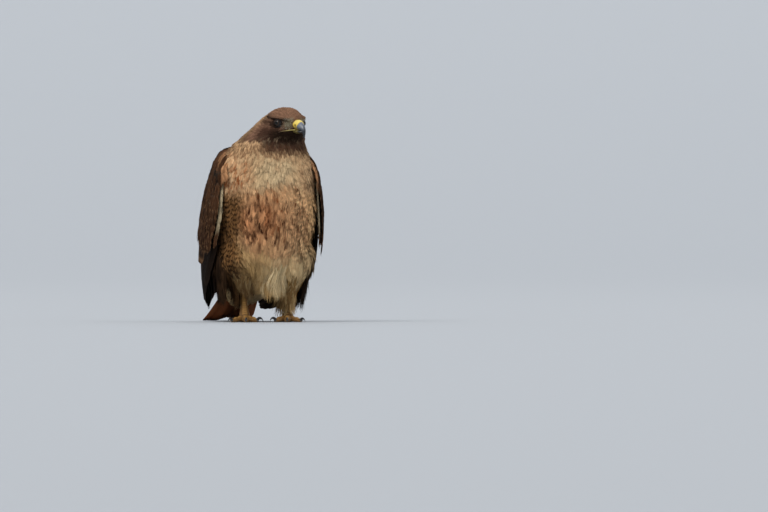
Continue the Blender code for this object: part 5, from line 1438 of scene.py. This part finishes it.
def onPoints(tree, sockets, form, material):
    dots = place(tree, "GeometryNodeMeshToPoints", None, {"Mesh": sockets["Geometry"]})
    turn = place(tree, "FunctionNodeAxesToRotation", {"primary_axis": "Z", "secondary_axis": "X"},
                 {"Primary Axis": named(tree, "outward", "FLOAT_VECTOR"), "Secondary Axis": named(tree, "across", "FLOAT_VECTOR")})
    many = place(tree, "GeometryNodeInstanceOnPoints", None,
                 {"Points": dots, "Instance": form, "Rotation": turn, "Scale": named(tree, "size", "FLOAT_VECTOR")})
    solid = place(tree, "GeometryNodeRealizeInstances", None, {"Geometry": many})
    even = place(tree, "GeometryNodeSetShadeSmooth", None, {"Geometry": solid})
    return place(tree, "GeometryNodeSetMaterial", None, {"Geometry": even, "Material": material})


def scuteTree(tree, sockets):  # a low rounded plate, one metre across until each point scales it
    ball = place(tree, "GeometryNodeMeshUVSphere", None, {"Segments": 8, "Rings": 6, "Radius": 1.0})
    return onPoints(tree, sockets, ball, legSkinFinish)


def bristleTree(tree, sockets):  # a stiff tapering hair that leans over as it grows
    cone = place(tree, "GeometryNodeMeshCone", {"fill_type": "NONE"},
                 {"Vertices": 4, "Side Segments": 4, "Radius Top": 0.08, "Radius Bottom": 1.0, "Depth": 1.0})
    spot = place(tree, "GeometryNodeInputPosition")
    rise = place(tree, "ShaderNodeSeparateXYZ", None, {0: spot}, 2)
    sweep = place(tree, "ShaderNodeCombineXYZ", None, {0: rise * rise * sockets["Sweep"]})
    bent = place(tree, "GeometryNodeSetPosition", None, {"Geometry": cone, "Offset": sweep})
    return onPoints(tree, sockets, bent, softPlumage)


bristles = copiesTree("bristles", bristleTree, {"Sweep": 3.0})


def makeBristles():
    rng = np.random.default_rng(77)
    spots, ways = [], []
    for side in (1, -1):
        n = 620
        ahead, up = rng.uniform(0.0175, 0.0365, n), rng.uniform(-0.0072, 0.0078, n)
        keep = (ahead - 0.0270) ** 2 / 0.0095 ** 2 + (up - 0.0003) ** 2 / 0.0075 ** 2 < 1
        middle, look, _, _ = eyeAxes(side)
        start = headPoints(np.stack([ahead, np.full(n, 0.030 * side), up], 1))
        for spot in start[keep]:
            hit, way, _, _ = skinTree.ray_cast(Vector(spot), Vector(headWay(0, -side, 0)), 0.05)
            if hit is not None and np.linalg.norm(np.array(hit) - middle) > 0.0090:
                spots.append(hit)
                ways.append(way)
    spots, ways = np.array(spots), np.array(ways)
    ahead, side, up = inHead(spots).T
    lie = np.stack([-0.15 + 0 * ahead, 0.25 * np.sign(side), 0.9 * (up + 0.001) / 0.006], 1) + rng.normal(0, 0.25, (len(spots), 3))
    lie += np.array([0.85, 0, 0]) * smooth(ahead, 0.027, 0.033)[:, None] * rng.uniform(-0.5, 1, (len(spots), 1))
    lie = unit(lie) @ headAxes.T
    lie = unit(lie - ways * (lie * ways).sum(1, keepdims=True))
    out = unit(ways * 0.55 + lie)
    length = rng.uniform(0.0028, 0.0060, len(spots))
    size = np.stack([np.full(len(spots), 0.00011), np.full(len(spots), 0.00011), length], 1)
    pale = rng.uniform(0, 1, len(spots))
    tint = blend(np.tile(tones["lores"] * 1.15, (len(spots), 1)), tones["crownDark"], (pale < 0.3) * 0.9)
    tint = blend(tint, paint(214, 210, 196), (pale > 0.7) * 0.8)
    across = unit(np.cross(np.cross(out, lie + 1e-4), out))
    mesh = grownMesh("loreBristles", spots - ways * 0.0004, {
        "outward": ("FLOAT_VECTOR", out), "across": ("FLOAT_VECTOR", across), "size": ("FLOAT_VECTOR", size),
        "tint": ("FLOAT_COLOR", np.column_stack([tint, np.ones(len(tint))]))}, bristles, {"Sweep": 4.0})
    addPiece("loreBristles", mesh, softPlumage)
    print("bristles", len(spots))


makeEyes()
makeLids()
makeBill()
makeCere()
makeMouth()
makeBristles()

# Legs and feet: skin, scutes, claws and the plumes that hang over them.

legPlan = {
    "feet": {"right": (-0.030, -0.001), "left": (0.044, 0.003)},
    "ends": {"right": 0.047, "left": 0.030},
    "turn": {"right": 11, "left": -15},            # degrees, as in the CAD model
    "toes": {"inner": (-33, 0.034, 0.0054, 0.0205), "middle": (0, 0.046, 0.0056, 0.0185),
             "outer": (34, 0.038, 0.0050, 0.0160), "hind": (174, 0.027, 0.0056, 0.0215)},  # bearing, length, radius, claw
    "skin": paint(134, 96, 46), "groove": paint(74, 48, 22), "scute": paint(166, 122, 60), "pad": paint(112, 86, 54),
    "claw": paint(26, 25, 27), "clawRoot": paint(92, 86, 80),
}


def makeLegSkinFinish():
    made, tree, put = newFinish("legSkin", **{"Specular IOR Level": 0.45})
    spot = objectSpot(tree)
    cloud = place(tree, "ShaderNodeTexNoise", None, {"Vector": spot, "Scale": 180.0, "Detail": 5.0})
    cell = place(tree, "ShaderNodeTexVoronoi", {"feature": "DISTANCE_TO_EDGE"}, {"Vector": spot, "Scale": 780.0})
    scale = place(tree, "ShaderNodeMapRange", None, {0: cell, 1: 0.0, 2: 0.16, 3: 0.0, 4: 1.0})
    shade = 0.62 + cloud * 0.45 + scale * 0.18
    grey = place(tree, "ShaderNodeCombineColor", None, {0: shade, 1: shade, 2: shade})
    feed(tree, put["Base Color"], mixColours(tree, 1.0, tintOf(tree), grey, "MULTIPLY"))
    feed(tree, put["Roughness"], 0.62 - scale * 0.16 + cloud * 0.1)
    feed(tree, put["Normal"], place(tree, "ShaderNodeBump", None, {"Strength": 0.7, "Distance": 0.0003, "Height": scale + cloud * 0.4}))
    return made


legSkinFinish = makeLegSkinFinish()
scutes = copiesTree("scutes", scuteTree, {})


def toeWay(sideName, bearing):
    angle = math.radians(bearing + legPlan["turn"][sideName])
    return np.array([math.sin(angle) * (1 if sideName == "left" else -1), -math.cos(angle), 0.0])


def toePath(sideName, toeName, s):  # middle line and radius along a toe
    bearing, length, radius, _ = legPlan["toes"][toeName]
    knuckles = 2.0 if toeName == "hind" else 3.0
    swell = 1 + 0.11 * np.cos(2 * math.pi * knuckles * s)
    slim = radius * (1 - 0.26 * s) * swell
    height = slim * 0.86 - 0.0006 + 0.0022 * np.sin(math.pi * np.minimum(1, s * 1.1)) * (1 - s)
    x, y = legPlan["feet"][sideName]
    start = np.array([x, y - 0.001, 0.0])
    way = toeWay(sideName, bearing)
    return start + way * (0.002 + length * s)[:, None] + np.array([0, 0, 1.0]) * height[:, None] + shift, slim, way


def shankPath(sideName, s):
    x, y = legPlan["feet"][sideName]
    end = legPlan["ends"][sideName]
    table = [(x, y + 0.0070, end + 0.012, 0.0058), (x, y + 0.0060, end, 0.0060), (x, y + 0.0045, end * 0.72, 0.0057), (x, y + 0.0020, end * 0.46 + 0.003, 0.0062),
             (x, y, 0.0135, 0.0084), (x, y - 0.001, 0.0066, 0.0092), (x, y - 0.001, 0.0006, 0.0066)]
    rows = curveAt(table, s)
    return rows[:, :3] + shift, rows[:, 3]


def clawPath(sideName, toeName, s):
    bearing, length, radius, claw = legPlan["toes"][toeName]
    way = toeWay(sideName, bearing)
    x, y = legPlan["feet"][sideName]
    root = np.array([x, y - 0.001, 0.0]) + way * (0.0015 + length)
    bend, first = math.radians(112), math.radians(48)
    thick = radius * 0.74 * 0.66
    angle = first - bend * s
    forward = claw / bend * (math.sin(first) - np.sin(angle))
    rise = claw / bend * (np.cos(angle) - math.cos(first))
    path = root + way * forward[:, None] + np.array([0, 0, 1.0]) * (radius * 0.66 + rise)[:, None]
    radii = np.maximum(thick * (1 - s) ** 0.75, 0.00022)
    low = (path[:, 2] - radii).min()
    path[:, 2] += max(0, 0.0004 - low) * s
    return path + shift, radii


def makeFeet():
    points, quads, tint, caps = [], [], [], []
    clawPoints, clawQuads, clawTint, clawCaps = [], [], [], []
    spots, outward, across, size, scuteTint = [], [], [], [], []
    rng = np.random.default_rng(31)

    def addTube(store, rings, colours):
        where, faces, tones_, ends = store
        base = sum(len(p) for p in where)
        rows, count = rings.shape[:2]
        faces.append(gridQuads(rows, count) + base)
        ends += [range(base, base + count), range(base + (rows - 1) * count, base + rows * count)]
        where.append(rings.reshape(-1, 3))
        tones_.append(np.repeat(colours, count, 0))

    def addScale(place_, out, sideways, wide, long, thick, tone):
        spots.append(place_)
        outward.append(out)
        across.append(sideways)
        size.append((wide, long, thick))
        scuteTint.append(tone * rng.uniform(0.82, 1.12))

    for sideName in ("left", "right"):
        s = np.linspace(0, 1, 34)
        path, radii = shankPath(sideName, s)
        rings = tubeRings(path, radii * 0.94, radii * 1.04, 28, np.array([0, -1.0, 0]))
        rings[..., 2] = np.maximum(rings[..., 2], 0.0)
        addTube((points, quads, tint, caps), rings, blend(np.tile(legPlan["skin"], (34, 1)), legPlan["groove"], 0.3 + 0 * s))
        end = legPlan["ends"][sideName]
        turn = math.radians(legPlan["turn"][sideName]) * (1 if sideName == "left" else -1)
        for z in np.arange(0.0125, end + 0.004, 0.0031):
            t = float(np.interp(-z, -path[:, 2], s))
            middle, radius = (a[0] for a in shankPath(sideName, np.array([t])))
            out = np.array([math.sin(turn), -math.cos(turn), 0.12])
            addScale(middle + out * radius * 0.95, unit(out), np.array([math.cos(turn), math.sin(turn), 0]), radius * 0.62, 0.00185, 0.0008, legPlan["scute"])
            addScale(middle - out * radius * 0.90, unit(-out), np.array([-math.cos(turn), -math.sin(turn), 0]), radius * 0.55, 0.00175, 0.0006, legPlan["scute"] * 0.85)
        for row, z in enumerate(np.arange(0.0105, end + 0.004, 0.0019)):
            t = float(np.interp(-z, -path[:, 2], s))
            middle, radius = (a[0] for a in shankPath(sideName, np.array([t])))
            for side in (1, -1):
                for step in range(5):
                    angle = turn - math.pi / 2 + side * (0.80 + 0.36 * (step + 0.5 * (row % 2)))
                    out = np.array([math.cos(angle), math.sin(angle), 0])
                    addScale(middle + out * radius * 0.97, out, np.array([-math.sin(angle), math.cos(angle), 0]), 0.00125, 0.00105, 0.00045, legPlan["skin"] * 1.12)
        for toeName in legPlan["toes"]:
            s = np.linspace(0, 1, 30)
            path, radii, way = toePath(sideName, toeName, s)
            taper = np.where(s > 0.93, 1 - 0.30 * (s - 0.93) / 0.07, 1)
            rings = tubeRings(path, radii * 1.0 * taper, radii * 0.92 * taper, 22, np.array([0, 0, 1.0]))
            rings[..., 2] = np.maximum(rings[..., 2], 0.0)
            # Painted shade: each toe darkens towards the groove colour where it lies near the floor; the cosine rings
            # are the grooves between its scales.
            under = np.clip(1 - rings[..., 2].mean(1) / 0.004, 0, 1)
            addTube((points, quads, tint, caps), rings, blend(np.tile(legPlan["skin"], (30, 1)), legPlan["groove"], 0.35 * under + 0.12 * np.cos(s * 40) ** 2))
            length = legPlan["toes"][toeName][1]
            sideways = unit(np.cross(way, [0, 0, 1.0]))
            for t in np.arange(0.16, 0.985, 0.00235 / length):
                (middle,), (radius,), _ = toePath(sideName, toeName, np.array([t]))
                shrink = 1 - 0.25 * max(0, t - 0.85) / 0.15
                addScale(middle + np.array([0, 0, radius * 0.84 * shrink]), unit(np.array([0, 0, 1.0]) + way * 0.10), sideways, radius * 0.72 * shrink, 0.00150, 0.00075, legPlan["scute"])
                for side in (1, -1):
                    for lift, wide in ((38, 0.0011), (12, 0.0010), (-12, 0.0009)):
                        a = math.radians(lift + rng.uniform(-4, 4))
                        out = sideways * side * math.cos(a) + np.array([0, 0, math.sin(a)])
                        spot = middle + (sideways * side * math.cos(a) * radius * 0.97 + np.array([0, 0, math.sin(a) * radius * 0.88])) + way * rng.uniform(-0.0004, 0.0004)
                        if spot[2] > 0.0011:
                            addScale(spot, unit(out), way, wide, 0.0010, 0.0004, legPlan["skin"] * 1.08)
            s = np.linspace(0, 1, 26)
            path, radii = clawPath(sideName, toeName, s)
            back = path[:1] - way * 0.003
            path, radii, s = np.vstack([back, path]), np.concatenate([radii[:1] * 0.9, radii]), np.concatenate([[0], s])
            rings = tubeRings(path, radii * 0.86, radii * 1.12, 18, np.array([0, 0, 1.0]))
            rings[..., 2] = np.maximum(rings[..., 2], 0.0001)
            addTube((clawPoints, clawQuads, clawTint, clawCaps), rings, blend(np.tile(legPlan["clawRoot"], (27, 1)), legPlan["claw"], smooth(s, 0.0, 0.22)))
    mesh = outwardMesh("legs", np.vstack(points), np.vstack(quads), np.vstack(tint), None, caps)
    toes = [f"toe_{toe}_{side}" for side in ("left", "right") for toe in legPlan["toes"]]
    addPiece("legs", mesh, legSkinFinish, ["shank_left", "shank_right"] + toes)
    mesh = outwardMesh("talons", np.vstack(clawPoints), np.vstack(clawQuads), np.vstack(clawTint), None, clawCaps)
    addPiece("talons", mesh, hornFinish, [toe.replace("toe", "claw") for toe in toes])
    tones_ = np.column_stack([np.array(scuteTint), np.ones(len(spots))])
    scuteMesh = grownMesh("legScutes", spots, {
        "outward": ("FLOAT_VECTOR", outward), "across": ("FLOAT_VECTOR", across), "size": ("FLOAT_VECTOR", size),
        "tint": ("FLOAT_COLOR", tones_)}, scutes, {})
    addPiece("legScutes", scuteMesh, legSkinFinish)
    print("scutes", len(spots))


def hangPlumes(name, rows, seed):  # loose plumes that hang over the thighs and between the legs
    rng = np.random.default_rng(seed)
    batches = []
    for row in rows:
        n = row["count"]
        angle = rng.uniform(*row["angles"], n) * math.pi / 180
        top = rng.uniform(*row["top"], n)
        length = rng.uniform(*row["length"], n)
        t = np.linspace(0, 1, 7)
        height = top[:, None] - length[:, None] * t
        envelope = np.array(row["envelope"], float)        # height, middle x, middle y, half width, half depth
        order = np.argsort(envelope[:, 0])
        around = [np.interp(height, envelope[order, 0], envelope[order, k]) for k in (1, 2, 3, 4)]
        drift = angle[:, None] + rng.normal(0, 0.12, (n, 1)) * t + rng.normal(0, 0.14, (n, 1)) * t ** 2
        stand = rng.uniform(*row["stand"], (n, 1)) * t + rng.uniform(-0.001, 0.001, (n, 1)) + rng.normal(0.001, 0.0025, (n, 1)) * t ** 3
        x = around[0] + (around[2] + stand) * np.cos(drift)
        y = around[1] + (around[3] + stand) * np.sin(drift)
        lines = np.stack([x, y, height], -1) + shift
        out = np.stack([np.cos(drift), np.sin(drift), 0.15 + 0 * t * drift], -1)
        picks = rng.integers(0, len(shapes["wisp"]), n)
        base = row["tone"] * (1 + rng.normal(0, row.get("vary", 0.12), (n, 1)))
        if "tip" in row:
            base = blend(base, row["tip"], (rng.uniform(0, 1, n) < row.get("tipShare", 0.3)) * 0.8)
        for k, shape in enumerate(shapes["wisp"]):
            part = picks == k
            if not part.any():
                continue
            half = length[part] * rng.uniform(0.10, 0.16, part.sum())
            points = growVanes(lines[part], out[part], half, shape, lambda s: 0.0008 * s, rng.normal(0, 0.15, part.sum()), 0.25)
            points[..., 2] = np.maximum(points[..., 2], 0.0012)
            # Painted shade: each plume darkens by up to 35% towards its root.
            tint = base[part][:, None] * (1 + 0.16 * shape["lock"] - 0.35 * (1 - smooth(shape["s"], 0.0, 0.4)))[None, :, None]
            patch = np.stack([angle[part] / 7, top[part] * 7], 1)
            batches.append({"points": points, "shape": shape, "tint": tint, "patch": patchMap(patch, shape, 0.003)})
    coatPiece(name, batches, softPlumage)


makeFeet()
thighLines = {side: [(0.110, x * 1.04, -0.014, 0.031, 0.041), (0.080, x + (foot[0] - x) * 0.25, -0.014, 0.0265, 0.035),
                     (0.063, x + (foot[0] - x) * 0.60, -0.005, 0.0200, 0.0245), (0.047, foot[0], foot[1] + 0.004, 0.0135, 0.0155),
                     (0.030, foot[0], foot[1] + 0.004, 0.0100, 0.0115), (0.010, foot[0], foot[1] + 0.003, 0.0110, 0.0115)]
              for side, x, foot in (("right", -0.044, legPlan["feet"]["right"]), ("left", 0.045, legPlan["feet"]["left"]))}
# Painted shade: the two rows on the right thigh are darker than the left thigh's, and the long plumes at its outer back
# are darkest.
hangPlumes("trouserPlumes", [
    {"count": 170, "angles": (0, 360), "top": (0.062, 0.092), "length": (0.022, 0.034), "stand": (0.000, 0.004), "envelope": thighLines["right"],
     "tone": paint(120, 92, 58), "tip": paint(170, 142, 100)},
    {"count": 120, "angles": (60, 210), "top": (0.060, 0.096), "length": (0.034, 0.052), "stand": (0.004, 0.012), "envelope": thighLines["right"],
     "tone": paint(70, 48, 28), "vary": 0.2},
    {"count": 260, "angles": (0, 360), "top": (0.040, 0.092), "length": (0.024, 0.040), "stand": (0.000, 0.003), "envelope": thighLines["left"],
     "tone": paint(178, 142, 92), "tip": paint(222, 194, 146), "tipShare": 0.5},
    {"count": 90, "angles": (150, 285), "top": (0.056, 0.080), "length": (0.040, 0.056), "stand": (0.003, 0.012), "envelope": thighLines["left"],
     "tone": paint(136, 106, 66), "tip": paint(190, 160, 112), "vary": 0.2},
], 61)
bellyLine = [(0.130, 0.006, -0.010, 0.060, 0.052), (0.098, 0.008, -0.010, 0.050, 0.046), (0.074, 0.010, -0.006, 0.034, 0.036),
             (0.050, 0.012, -0.004, 0.024, 0.028), (0.025, 0.012, -0.002, 0.018, 0.022)]
flankLine = [(0.150, -0.058, -0.006, 0.026, 0.048), (0.110, -0.056, -0.002, 0.026, 0.046), (0.070, -0.052, 0.004, 0.024, 0.040),
             (0.040, -0.050, 0.008, 0.020, 0.032), (0.015, -0.048, 0.010, 0.016, 0.026)]
farLine = [(0.110, 0.062, 0.012, 0.020, 0.030), (0.070, 0.062, 0.022, 0.019, 0.028), (0.040, 0.060, 0.030, 0.017, 0.024), (0.010, 0.058, 0.034, 0.013, 0.020)]
# Painted shade: these plumes are dark brown where the flanks lie in shade, beside the near wing and behind the far
# thigh.
hangPlumes("flankPlumes", [
    {"count": 150, "angles": (110, 218), "top": (0.066, 0.118), "length": (0.034, 0.050), "stand": (0.000, 0.003), "envelope": flankLine,
     "tone": paint(56, 39, 25), "tip": paint(30, 20, 12), "tipShare": 0.5, "vary": 0.22},
    {"count": 110, "angles": (-50, 80), "top": (0.056, 0.100), "length": (0.034, 0.052), "stand": (0.000, 0.004), "envelope": farLine,
     "tone": paint(46, 33, 23), "tip": paint(30, 21, 15), "tipShare": 0.5, "vary": 0.2},
], 63)
hangPlumes("bellyPlumes", [
    {"count": 150, "angles": (215, 335), "top": (0.070, 0.118), "length": (0.030, 0.046), "stand": (0.000, 0.004), "envelope": bellyLine,
     "tone": paint(188, 152, 100), "tip": paint(220, 194, 148), "tipShare": 0.45},
    {"count": 50, "angles": (262, 300), "top": (0.080, 0.112), "length": (0.040, 0.056), "stand": (0.001, 0.006), "envelope": bellyLine,
     "tone": paint(222, 196, 150)},
    {"count": 60, "angles": (300, 345), "top": (0.090, 0.135), "length": (0.034, 0.050), "stand": (0.001, 0.005), "envelope": bellyLine,
     "tone": paint(214, 186, 138), "tip": paint(228, 206, 164), "tipShare": 0.4},
], 62)

# Camera, floor and light.

view = {"azimuth": -15.0, "lens": 300.0, "distance": 10.56, "right": 0.2013, "height": 0.109, "rise": 0.0}


def studio():
    cam = bpy.data.objects.new("camera", bpy.data.cameras.new("camera"))
    bpy.context.scene.collection.objects.link(cam)
    bpy.context.scene.camera = cam
    cam.data.sensor_width, cam.data.lens = 36.0, view["lens"]
    cam.data.clip_end = 100.0
    a = math.radians(view["azimuth"])
    right, back = Vector((math.cos(a), math.sin(a), 0)), Vector((math.sin(a), -math.cos(a), 0))
    aim = Vector((shift[0], shift[1], 0)) + right * view["right"] + Vector((0, 0, view["height"]))
    cam.location = aim + back * view["distance"] + Vector((0, 0, view["rise"]))
    cam.rotation_euler = (aim - cam.location).to_track_quat("-Z", "Y").to_euler()

    rings, count = [], 96
    for reach, up in ((0.001, 0), (1, 0), (4, 0), (9, 0), (13, 0.02), (15, 0.10), (17, 0.32), (19, 0.8), (21, 1.7), (22.5, 3.2), (23.4, 5.5), (23.8, 10)):
        angle = np.linspace(0, 2 * math.pi, count, endpoint=False)
        rings.append(np.stack([reach * np.cos(angle), reach * np.sin(angle), up + 0 * angle], 1))
    points, faces = loftRings(rings)
    paper, tree, put = newFinish("studioPaper", **{"Base Color": paint(186, 191, 197), "Roughness": 0.9, "Specular IOR Level": 0.1})
    floor = bpy.data.objects.new("studioFloor", meshFrom("studioFloor", points, faces[:, ::-1]))
    floor.data.materials.append(paper)
    bpy.context.scene.collection.objects.link(floor)

    world = bpy.data.worlds.new("studioLight")
    bpy.context.scene.world = world
    world.use_nodes = True
    world.node_tree.nodes["Background"].inputs["Color"].default_value = (0.97, 0.98, 1.0, 1.0)
    world.node_tree.nodes["Background"].inputs["Strength"].default_value = 0.62
    for name, azimuth, rise, spread, power in (("keyLight", -50, 46, 34, 1.55), ("fillLight", 45, 28, 50, 0.55), ("backLight", 165, 40, 50, 0.45)):
        lamp = bpy.data.objects.new(name, bpy.data.lights.new(name, "SUN"))
        lamp.data.energy, lamp.data.angle, lamp.data.color = power, math.radians(spread), (1.0, 0.985, 0.96)
        a, b = math.radians(azimuth), math.radians(rise)
        lamp.location = (math.sin(a) * math.cos(b) * 6, -math.cos(a) * math.cos(b) * 6, math.sin(b) * 6)
        lamp.rotation_euler = (Vector((0, 0, 0.2)) - lamp.location).to_track_quat("-Z", "Y").to_euler()
        bpy.context.scene.collection.objects.link(lamp)
    bpy.context.scene.view_settings.view_transform = "Standard"


studio()
